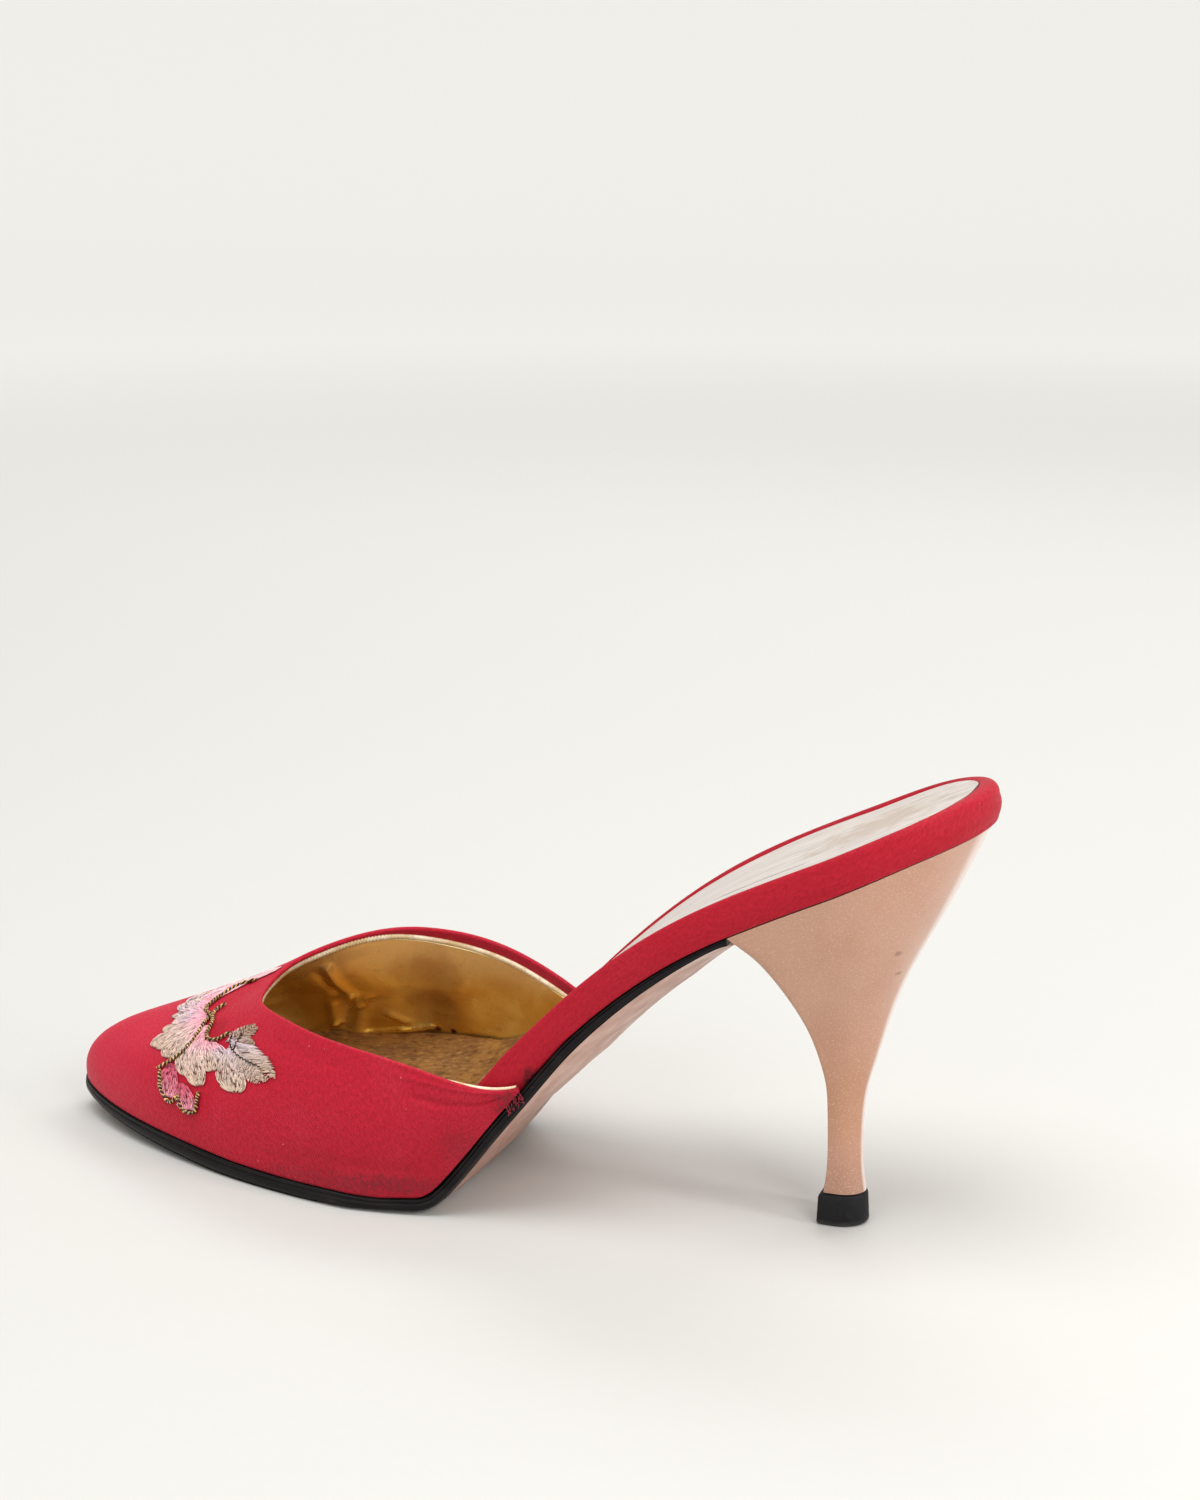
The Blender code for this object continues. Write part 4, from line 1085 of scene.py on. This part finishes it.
def sock_sheet():
    """A closed sheet over the dished bed: its rims follow the outline, and its middle sags as a parabola.

    Its edge is rounded down and lies in small waves. The second array is the way in from the outer edge.
    """
    places = stations(ROUND_END + SOCK_FROM_BACK, LAST_LENGTH - SOCK_SHORT_OF_TOE, 260)
    inset, lift = (np.interp(places, SOCK_EDGE["x"], SOCK_EDGE[name]) for name in ("inset", "lift"))
    outer, inner = outline(places, -inset - dish(places, "draw_in"))
    outer[0] = inner[0] = (outer[0] + inner[0]) / 2
    share = (1 - np.cos(np.linspace(0, np.pi, 49))) / 2
    to_edge = np.minimum(share, 1 - share)
    plan = outer[:, None] + (inner - outer)[:, None] * share[None, :, None]
    outer_rise, inner_rise = dish(places, "outer_rise"), dish(places, "inner_rise")
    rims = outer_rise[:, None] * (1 - share) + inner_rise[:, None] * share
    sag = (outer_rise + inner_rise)[:, None] / 2 * (1 - (2 * share - 1) ** 2)
    bed = (footbed_top(places) + lift)[:, None] + rims - sag
    wave = EDGE_WAVE * np.sin(places / 5.3)[:, None] * np.exp(-((to_edge / 0.05) ** 2))
    edge = np.clip(to_edge * SOCK_WIDTH / EDGE_ROUND, 0, 1)
    face = bed + wave - EDGE_DROP * (1 - np.sqrt(1 - (1 - edge) ** 2))
    top = np.concatenate([plan, face[..., None]], axis=2)
    under = np.concatenate([plan, (bed - SOCK_THICKNESS)[..., None]], axis=2)
    from_edge = share * np.linalg.norm(outer - inner, axis=1)[:, None]
    points = np.concatenate([top, under[:, ::-1]], axis=1)
    return points, np.concatenate([from_edge, from_edge[:, ::-1]], axis=1)


def point_value(tree, layer):
    """A value that the mesh holds for each point."""
    return shader_node(tree, "ShaderNodeAttribute", attribute_name=layer).outputs["Fac"]


sock_points, from_outer_edge = sock_sheet()
sock_lining = make_piece(
    "sock_lining",
    with_ends(sock_points),
    layers={"from_outer_edge": np.pad(from_outer_edge, ((1, 1), (0, 0)), mode="edge")[..., None]},
    sharp_degrees=60,
)
tree, shader = new_material(sock_lining, "worn_gold_leather", Specular_IOR_Level=0.4)
place = in_millimetres(tree)
along_shoe = along_axis(tree, place, "X")
streak = noise(tree, place, 0.9, detail=5.0, stretch=(22.0, 1.0, 8.0))
wear = noise(tree, place, 13.0, detail=3.0, uneven=0.4)
patch = noise(tree, place, 3.4, detail=4.0, stretch=(2.0, 1.0, 1.0))
fleck = noise(tree, place, 1.1, detail=6.0, stretch=(1.6, 1.0, 1.0))
grain = noise(tree, place, 0.6, detail=3.0)
rear = wash(tree, colour(209, 201, 195), streak, 0.42, 0.62, 1.0, (193, 182, 174))
rear = wash(tree, rear, streak, 0.56, 0.72, 0.35, (162, 152, 148))
rear = wash(tree, rear, wear, 0.52, 0.72, 0.35, (184, 166, 142))
front = wash(tree, colour(178, 130, 72), wear, 0.3, 0.7, 1.0, (142, 100, 58))
front = wash(tree, front, patch, 0.45, 0.7, 0.5, (112, 76, 46))
front = wash(tree, front, streak, 0.55, 0.75, 0.3, (206, 166, 104))
front = wash(tree, front, fleck, 0.52, 0.7, 0.55, (204, 158, 92))
front = wash(tree, front, fleck, 0.46, 0.32, 0.6, (88, 56, 30))
sock_colour = mix_colour(tree, spread(tree, along_shoe, -40.0, 0.0), rear, front)
scuff = smudge_mask(tree, (24.0, 0.0, 90.0), 22.0, (1.0, 1.3, 0.4), 0.9, 4.0)
sock_colour = stain(tree, sock_colour, scuff, 0.45, (166, 142, 112))

# A split in the leather, about 20 mm long: a thin wandering line that runs about 9 mm in from the outer edge.
SPLIT_START = -75.0
SPLIT_FROM_EDGE = 9.4
SPLIT_SLOPE = 0.03
SPLIT_WANDER = 1.2
way_on = calculate(tree, "SUBTRACT", along_shoe, SPLIT_START)
wander = calculate(tree, "MULTIPLY", noise(tree, place, 4.0), SPLIT_WANDER)
split_way = calculate(tree, "SUBTRACT", SPLIT_FROM_EDGE, calculate(tree, "MULTIPLY", way_on, SPLIT_SLOPE))
edge_way = calculate(tree, "ADD", point_value(tree, "from_outer_edge"), wander)
off_split = calculate(tree, "ABSOLUTE", calculate(tree, "SUBTRACT", edge_way, split_way))
split = spread(tree, off_split, 0.42, 0.22)
split = calculate(tree, "MULTIPLY", split, spread(tree, way_on, -1.0, 2.0))
split = calculate(tree, "MULTIPLY", split, spread(tree, way_on, 21.0, 17.0))
sock_colour = mix_colour(tree, split, sock_colour, colour(70, 52, 44))
finish_shader(tree, shader, sock_colour, spread(tree, wear, 0.3, 0.7, 0.42, 0.62), grain, 0.08)
metal_share = spread(tree, along_shoe, -40.0, 10.0, 0.2, 0.5)
tree.links.new(metal_share, shader.inputs["Metallic"])
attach(sock_lining, "root")
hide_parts("sock")


# Outsole. Sole leather cemented under the footbed from the heel breast to the toe. Its edge is trimmed, inked
# black and polished, and its underside is left tan and is rounded under the waist.

OUTSOLE = table(
    "x thickness stand_out tuck swell",
    (50, 1.0, -0.9, 0.4, 3.0), (63, 1.7, -0.5, 0.5, 4.7), (84, 2.5, 0.0, 0.6, 4.9),
    (92, 2.8, 1.2, 0.8, 3.2), (99, 2.9, 2.1, 1.2, 1.7), (106, 2.9, 2.4, 1.6, 1.5),
    (114, 2.9, 2.5, 2.4, 0.6), (120, 2.9, 2.5, 2.8, 0.0), (132, 3.5, 2.5, 1.6, 0.0),
    (146, 3.9, 2.5, 0.7, 0.0), (175, 4.2, 2.5, 0.7, 0.0), (190, 3.8, 2.5, 0.7, 0.0),
    (222, 2.8, 2.5, 0.7, 0.0),
)

# Shares of the way up the trimmed edge, and how far it is cut in there.
OUTSOLE_EDGE = [
    (0.06, 0.55), (0.16, 0.2), (0.3, 0.0), (0.52, -0.06), (0.70, 0.0), (0.76, 0.22), (0.82, 0.05),
    (0.94, 0.08), (1.0, 0.35),
]
TUCK_TOP = 0.3
TOP_INSET = 0.4
UNDER_RUNGS = 16
KNEE_ROUNDING = 2.4
INKED_FROM_X = 110.0
INKED_FULL_X = 140.0
INKED_SHARE = 0.24
INK_EDGE_SHARPNESS = 8


def outsole_value(x, name):
    """One column of the outsole table, in straight lines along the shoe."""
    return np.interp(x, OUTSOLE["x"], OUTSOLE[name])


def outsole_under(places):
    """Height of the tread's edge: the sole thickness below the footbed but not below the floor.

    The knee where it meets the floor is rounded as a mean over a bell curve of places before and behind it.
    """
    shift = np.linspace(-3, 3, 25)[:, None] * KNEE_ROUNDING
    bell = np.exp(-((shift / KNEE_ROUNDING) ** 2) / 2)
    at = np.clip(places + shift, BREAST_X, LAST_LENGTH)
    down = footbed_under(at) - GAP - outsole_value(at, "thickness") * steepness(at)
    return np.sum(bell * np.maximum(down, 0.0), axis=0) / np.sum(bell)


def outsole_levels():
    """Loops from the middle of the underside out to its edge, up the edge and in again over the top.

    The second array is 1 on bare leather and 0 on ink, with a border of ink round the tread.
    """
    places = stations(BREAST_X, LAST_LENGTH - ROUND_END, STATIONS, open_start=True)
    top = footbed_under(places) - GAP
    under = outsole_under(places)
    swell = np.minimum(outsole_value(places, "swell") * steepness(places), under)
    stand_out, tuck = outsole_value(places, "stand_out"), outsole_value(places, "tuck")
    rungs = np.linspace(1, 0, UNDER_RUNGS)
    levels = []
    for drawn_in in rungs:
        heights = under - swell * (1 - (1 - drawn_in) ** 2)
        levels.append(ring(places, stand_out - tuck, heights, heights, drawn_in))
    for share, inset in OUTSOLE_EDGE:
        heights = under + (top - under) * share
        lower = np.clip(1 - share / TUCK_TOP, 0, 1)
        levels.append(ring(places, stand_out - inset - tuck * lower * 0.5, heights, heights))
    levels.append(ring(places, stand_out - TOP_INSET, top, top, 1.0))
    levels = np.array(levels)
    inked = INKED_SHARE * np.clip((levels[0, :, 0] - INKED_FROM_X) / (INKED_FULL_X - INKED_FROM_X), 0, 1)
    face = np.zeros(levels.shape[:2])
    face[:UNDER_RUNGS] = np.clip(0.5 + INK_EDGE_SHARPNESS * (rungs[:, None] - inked), 0, 1)
    return levels, face[..., None]


levels, leather_face = outsole_levels()
outsole_leather = make_piece(
    "outsole_leather", levels, layers={"leather_face": leather_face}, sharp_degrees=45
)
tree, shader = new_material(outsole_leather, "sole_leather", Specular_IOR_Level=0.15)
place = in_millimetres(tree)
height_up = along_axis(tree, place, "Z")
is_face = spread(tree, point_value(tree, "leather_face"), 0.35, 0.65)
hide = noise(tree, place, 5.0, detail=5.0, stretch=(2.0, 1.0, 1.0))
scratch = noise(tree, place, 0.7, detail=4.0, stretch=(7.0, 1.0, 1.0))
leather = wash(tree, colour(206, 172, 158), hide, 0.35, 0.68, 1.0, (188, 150, 136))
leather = wash(tree, leather, scratch, 0.58, 0.8, 0.5, (222, 196, 184))
# Painted shade: the underside turns darker lower down, towards the floor.
leather = wash(tree, leather, height_up, 34.0, 12.0, 0.75, (150, 110, 94))
tread = spread(tree, calculate(tree, "ADD", height_up, calculate(tree, "MULTIPLY", hide, 3.0)), 3.4, 0.8)
leather = stain(tree, leather, tread, 0.7, (96, 66, 48))
ink = wash(tree, colour(15, 12, 13), hide, 0.4, 0.7, 1.0, (26, 22, 23))
ink = wash(tree, ink, scratch, 0.62, 0.8, 0.6, (58, 52, 52))
sole_colour = mix_colour(tree, is_face, ink, leather)
finish_shader(tree, shader, sole_colour, spread(tree, hide, 0.3, 0.7, 0.3, 0.46), scratch, 0.05)
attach(outsole_leather, "root")
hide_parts("outsole")


# Heel. Moulded plastic with a cup under the seat and a flat breast, sprayed in a tan pearl lacquer and
# screwed up into the footbed.

# The columns are x and z of the back, x and z of the breast, and the half width.
HEEL = [
    (25.4, 7.3, 33.8, 7.3, 4.7),
    (26.2, 13.0, 33.2, 13.0, 4.5),
    (26.4, 20.0, 33.1, 19.6, 4.6),
    (25.8, 29.5, 33.2, 27.6, 5.2),
    (23.6, 38.2, 33.6, 34.0, 6.6),
    (20.5, 49.0, 35.1, 41.4, 9.2),
    (16.4, 59.5, 36.8, 48.0, 13.0),
    (10.8, 70.5, 39.8, 55.6, 18.0),
    (5.4, 81.6, 44.6, 63.4, 22.6),
]
HEEL_INSET = 0.9
HEEL_ROUND_SHARE = 0.92
HEEL_POINTS = 44
HEEL_RINGS = 12
BREAST_EDGE = 0.05
BREAST_EDGE_INSET = 0.06
PAINTED_HIGHLIGHT_SHARE = 0.034
SCUFFS = [
    ((17.2, 16.0, 65.3), 1.1),
    ((18.0, 12.5, 59.6), 0.9),
    ((17.3, 10.5, 55.2), 0.9),
    ((26.0, 16.0, 79.0), 0.6),
]


def d_loop(back_x, back_z, breast_x, breast_z, half_width, count):
    """A loop with a round back and a straight breast, tilted between the heights of the two."""
    share = stations(0, 1, count)
    length = breast_x - back_x
    round_part = min(length * HEEL_ROUND_SHARE, half_width * SEAT_LENGTH / SEAT_HALF_WIDTH)
    inward = np.clip(1 - length * share / round_part, 0, 1)
    corner = np.clip((share - 1 + BREAST_EDGE) / BREAST_EDGE, 0, 1)
    y = half_width * np.sqrt(1 - inward**2) * (1 - BREAST_EDGE_INSET * corner**3)
    x = back_x + length * share
    z = back_z + (breast_z - back_z) * share
    return np.vstack([np.column_stack([x, y, z]), np.column_stack([x, -y, z])[::-1]])


def heel_loops():
    """Loops up the heel, joined point by point by splines that turn into straight lines up to the seat."""
    places = stations(ROUND_END, BREAST_X, HEEL_POINTS)
    seat = footbed_under(places) - GAP
    loops = np.array([d_loop(*row, HEEL_POINTS) for row in HEEL] + [ring(places, -HEEL_INSET, seat, seat)])
    knots = np.arange(len(loops), dtype=float)
    at = np.linspace(0, len(loops) - 1, (len(loops) - 1) * HEEL_RINGS + 1)
    flat = loops.reshape(len(loops), -1)
    step = np.clip(np.searchsorted(knots, at) - 1, 0, len(knots) - 2)
    spline = np.stack([smooth(at, knots, column) for column in flat.T], axis=1)
    straight = flat[step] + (at - step)[:, None] * (flat[step + 1] - flat[step])
    seat_share = np.clip(at - (len(loops) - 2), 0, 1)[:, None]
    joined = spline * (1 - seat_share) + straight * seat_share
    return joined.reshape(len(at), -1, 3)


heel_points = with_ends(heel_loops())
# A painted highlight down the middle of the round back, over this share of the loop on each side.
from_back = stations(0, 1, HEEL_POINTS)
painted_back_highlight = np.clip(1 - np.concatenate([from_back, from_back[::-1]]) / PAINTED_HIGHLIGHT_SHARE, 0, 1)
heel_lacquer = make_piece(
    "heel_lacquer",
    heel_points,
    layers={"painted_back_highlight": np.broadcast_to(painted_back_highlight[:, None], heel_points.shape[:2] + (1,))},
    sharp_degrees=50,
)
tree, shader = new_material(
    heel_lacquer, "tan_pearl_lacquer", Metallic=0.1, Specular_IOR_Level=0.45, Coat_Weight=0.5,
    Coat_Roughness=0.12,
)
place = in_millimetres(tree)
height_up = along_axis(tree, place, "Z")
pearl = noise(tree, place, 0.32, detail=2.0)
cloud = noise(tree, place, 12.0, detail=3.0)
lacquer = wash(tree, colour(189, 143, 119), cloud, 0.35, 0.7, 1.0, (184, 136, 111))
glow = calculate(tree, "MULTIPLY", spread(tree, height_up, 55.0, 30.0), spread(tree, height_up, 8.0, 25.0))
lacquer = stain(tree, lacquer, glow, 0.45, (182, 124, 86))
# Painted shade: the lacquer turns darker towards the foot of the heel.
lacquer = wash(tree, lacquer, height_up, 20.0, 8.0, 0.6, (158, 114, 93))
lacquer = wash(tree, lacquer, pearl, 0.5, 0.72, 0.45, (218, 182, 160))
for scuff_place, reach in SCUFFS:
    mask = smudge_mask(tree, scuff_place, reach, (1.0, 0.05, 1.0), 0.5, 0.8)
    lacquer = stain(tree, lacquer, mask, 0.8, (146, 98, 76))
# Painted highlight: a pale stripe down the round back of the heel.
lacquer = stain(tree, lacquer, point_value(tree, "painted_back_highlight"), 0.8, (240, 226, 220))
finish_shader(tree, shader, lacquer, spread(tree, pearl, 0.3, 0.7, 0.32, 0.44), pearl, 0.02)
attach(heel_lacquer, "root")
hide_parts("heel")


# Top piece. A small block of black rubber, moulded with a softened edge and pinned to the tip of the heel.
# It stands on the floor, so its foot has picked up dust.

# The columns are those of the heel.
TOP_PIECE = [
    (25.5, 0.0, 34.3, 0.0, 4.8),
    (24.95, 0.25, 34.8, 0.25, 5.35),
    (24.7, 0.7, 35.0, 0.7, 5.6),
    (24.85, 3.5, 34.9, 3.5, 5.5),
    (25.0, 6.2, 34.8, 6.2, 5.4),
    (25.15, 6.75, 34.65, 6.75, 5.25),
    (25.4, 7.0, 34.5, 7.0, 5.0),
]
TOP_PIECE_POINTS = 32
top_piece_loops = np.array([d_loop(*row, TOP_PIECE_POINTS) for row in TOP_PIECE])
top_piece_rubber = make_piece("top_piece_rubber", with_ends(top_piece_loops), sharp_degrees=60)
tree, shader = new_material(top_piece_rubber, "black_rubber", Specular_IOR_Level=0.25)
place = in_millimetres(tree)
rub = noise(tree, place, 1.2, detail=4.0)
rubber = wash(tree, colour(15, 14, 17), rub, 0.4, 0.7, 1.0, (27, 26, 29))
dust = calculate(tree, "MULTIPLY", spread(tree, along_axis(tree, place, "Z"), 1.6, 0.0), rub)
rubber = mix_colour(tree, dust, rubber, colour(84, 80, 78))
finish_shader(tree, shader, rubber, spread(tree, rub, 0.3, 0.7, 0.55, 0.72), rub, 0.05)
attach(top_piece_rubber, "root")
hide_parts("top_piece")


# Frayed yarns. At the end of the near wing a few yarns of the satin have pulled loose. They start in the
# cloth and lie in small curls over the edge of the sole.

FRAY_COUNT = 16
FRAY_RADIUS = 0.09
FRAY_ROOT_DEPTH = 0.1
FRAY_CURL = 0.6
FRAY_ROUND = (-1.0, -0.982)
FRAY_RISE = (0.0, 0.12)
FRAY_OUT = (0.1, 0.9)
FRAY_DOWN = (0.8, 3.0)
FRAY_BACK = (-0.8, 1.6)
FRAY_SEED = 5


def frayed_ends():
    """Tubes from the cloth outwards, down and back by chance, curled by a sine that grows along the yarn."""
    random = np.random.default_rng(FRAY_SEED)
    one, each = (FRAY_COUNT, 1), (FRAY_COUNT, 1, 1)
    way = np.linspace(0, 1, 10)[None, :, None]
    ground, out, up = vamp_frame(random.uniform(*FRAY_ROUND, one), random.uniform(*FRAY_RISE, one))
    reach = out * random.uniform(*FRAY_OUT, each) - up * random.uniform(*FRAY_DOWN, each)
    reach = reach + np.array([-1.0, 0.0, 0.0]) * random.uniform(*FRAY_BACK, each)
    curl = random.uniform(-1, 1, (FRAY_COUNT, 1, 3)) * FRAY_CURL
    paths = ground - out * FRAY_ROOT_DEPTH + reach * way + curl * np.sin(2.6 * np.pi * way) * way
    sideways = np.broadcast_to(np.array([0.0, 1.0, 0.0]), paths.shape)
    radius = FRAY_RADIUS * np.sqrt(1 - np.abs(2 * way[..., 0] - 1) ** 8)
    return thread_tubes(paths, sideways, np.broadcast_to(radius, paths.shape[:2]), 1.0)


frayed_yarns = make_piece("frayed_yarns", frayed_ends())
tree, shader = new_material(frayed_yarns, "loose_yarn", Specular_IOR_Level=0.2, Sheen_Weight=0.2)
fibre = noise(tree, in_millimetres(tree), 0.8, detail=2.0)
yarn_colour = wash(tree, colour(170, 16, 40), fibre, 0.35, 0.65, 1.0, (96, 10, 24))
finish_shader(tree, shader, yarn_colour, spread(tree, fibre, 0.3, 0.7, 0.55, 0.7), fibre, 0.02)
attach(frayed_yarns, "root")


# Setting. A plain pale paper sweep under and behind the shoe, lit by large soft boxes and one broad light
# from above. The camera stands where the photo's camera stood.

SWEEP_HALF_WIDTH = 9000.0
SWEEP_FRONT = 9000.0
SWEEP_BACK = -5000.0
SWEEP_RADIUS = 12000.0
SWEEP_END_DEGREES = 40.0


def paper_sweep():
    """A flat floor that turns up slowly, as part of a large circle, far behind the shoe."""
    angle = np.radians(np.linspace(0, SWEEP_END_DEGREES, 33))
    depth = np.concatenate([[SWEEP_FRONT], SWEEP_BACK - SWEEP_RADIUS * np.sin(angle)])
    height = np.concatenate([[0.0], SWEEP_RADIUS * (1 - np.cos(angle))])
    sides = np.array([SWEEP_HALF_WIDTH, -SWEEP_HALF_WIDTH])
    return np.stack(np.broadcast_arrays(sides[None], depth[:, None], height[:, None]), axis=2)


floor = make_piece("paper_floor", paper_sweep(), around=False)
tree, shader = new_material(floor, "pale_paper", Roughness=0.9, Specular_IOR_Level=0.1)
place = in_millimetres(tree)
tooth = noise(tree, place, 3.0, detail=4.0)
away = vector_step(tree, "LENGTH", place, output="Value")
# Painted light: the paper is darker near the shoe and paler far from it, where the lamps' light has fallen
# off.
paper = wash(tree, colour(202, 201, 197), away, 400.0, 2900.0, 1.0, (252, 251, 247))
paper = wash(tree, paper, tooth, 0.3, 0.7, 0.05, (190, 188, 184))
tree.links.new(paper, shader.inputs["Base Color"])

world = bpy.data.worlds.new("studio")
world.use_nodes = True
bpy.context.scene.world = world
sky = world.node_tree.nodes["Background"]
sky.inputs["Color"].default_value = (1.0, 0.99, 0.97, 1.0)
sky.inputs["Strength"].default_value = 0.5


def put_in_scene(name, data, place, across, back):
    """A light or a camera at a place in millimetres. It looks against the direction called back."""
    holder = bpy.data.objects.new(name, data)
    bpy.context.scene.collection.objects.link(holder)
    rows = np.column_stack([across, np.cross(back, across), back, to_row(place)])
    holder.matrix_world = Matrix([*rows.tolist(), [0, 0, 0, 1]])
    return holder


def soft_box(name, place, aim, width, height, power):
    """A rectangular area light at a place in millimetres, turned to face its aim."""
    light = bpy.data.lights.new(name, "AREA")
    light.shape = "RECTANGLE"
    light.size, light.size_y = width * MM, height * MM
    light.energy = power
    away = to_row(place) - to_row(aim)
    away /= np.linalg.norm(away)
    across = np.cross([0.0, 0.0, 1.0], away)
    across /= np.linalg.norm(across)
    put_in_scene(name, light, place, across, away)


SHOE_MIDDLE = (110.0, 0.0, 40.0)
THROAT = (140.0, -10.0, 30.0)
soft_box("key_light", (-60.0, 260.0, 1500.0), SHOE_MIDDLE, 900, 900, 6.1)
soft_box("side_light", (-900.0, 120.0, 300.0), SHOE_MIDDLE, 160, 900, 4.7)
soft_box("fill_light", (500.0, 1100.0, 300.0), SHOE_MIDDLE, 900, 700, 2.5)
soft_box("throat_light", (-420.0, 420.0, 520.0), THROAT, 260, 260, 1.25)
soft_box("back_light", (0.0, -900.0, 1100.0), SHOE_MIDDLE, 1400, 500, 7.0)
sun_data = bpy.data.lights.new("broad_light", "SUN")
sun_data.angle = np.radians(40)
sun_data.energy = 1.3
sun = bpy.data.objects.new("broad_light", sun_data)
sun.rotation_euler = (np.radians(-12), np.radians(14), 0.0)
bpy.context.scene.collection.objects.link(sun)

CAMERA_PLACE = (-90.995, 487.648, 222.498)
CAMERA_TURN = np.radians(20.0407)
CAMERA_ELEVATION = np.radians(13.2408)
FOCAL_SHARE = 2460.4 / 1500.0
lens_data = bpy.data.cameras.new("photo_camera")
lens_data.sensor_width = 36.0
lens_data.lens = FOCAL_SHARE * lens_data.sensor_width
lens_data.clip_start = 0.01
right = np.array([-np.cos(CAMERA_TURN), -np.sin(CAMERA_TURN), 0.0])
back = np.array([-np.sin(CAMERA_TURN), np.cos(CAMERA_TURN), np.tan(CAMERA_ELEVATION)])
back *= np.cos(CAMERA_ELEVATION)
bpy.context.scene.camera = put_in_scene("photo_camera", lens_data, CAMERA_PLACE, right, back)
bpy.context.scene.view_settings.view_transform = "Standard"
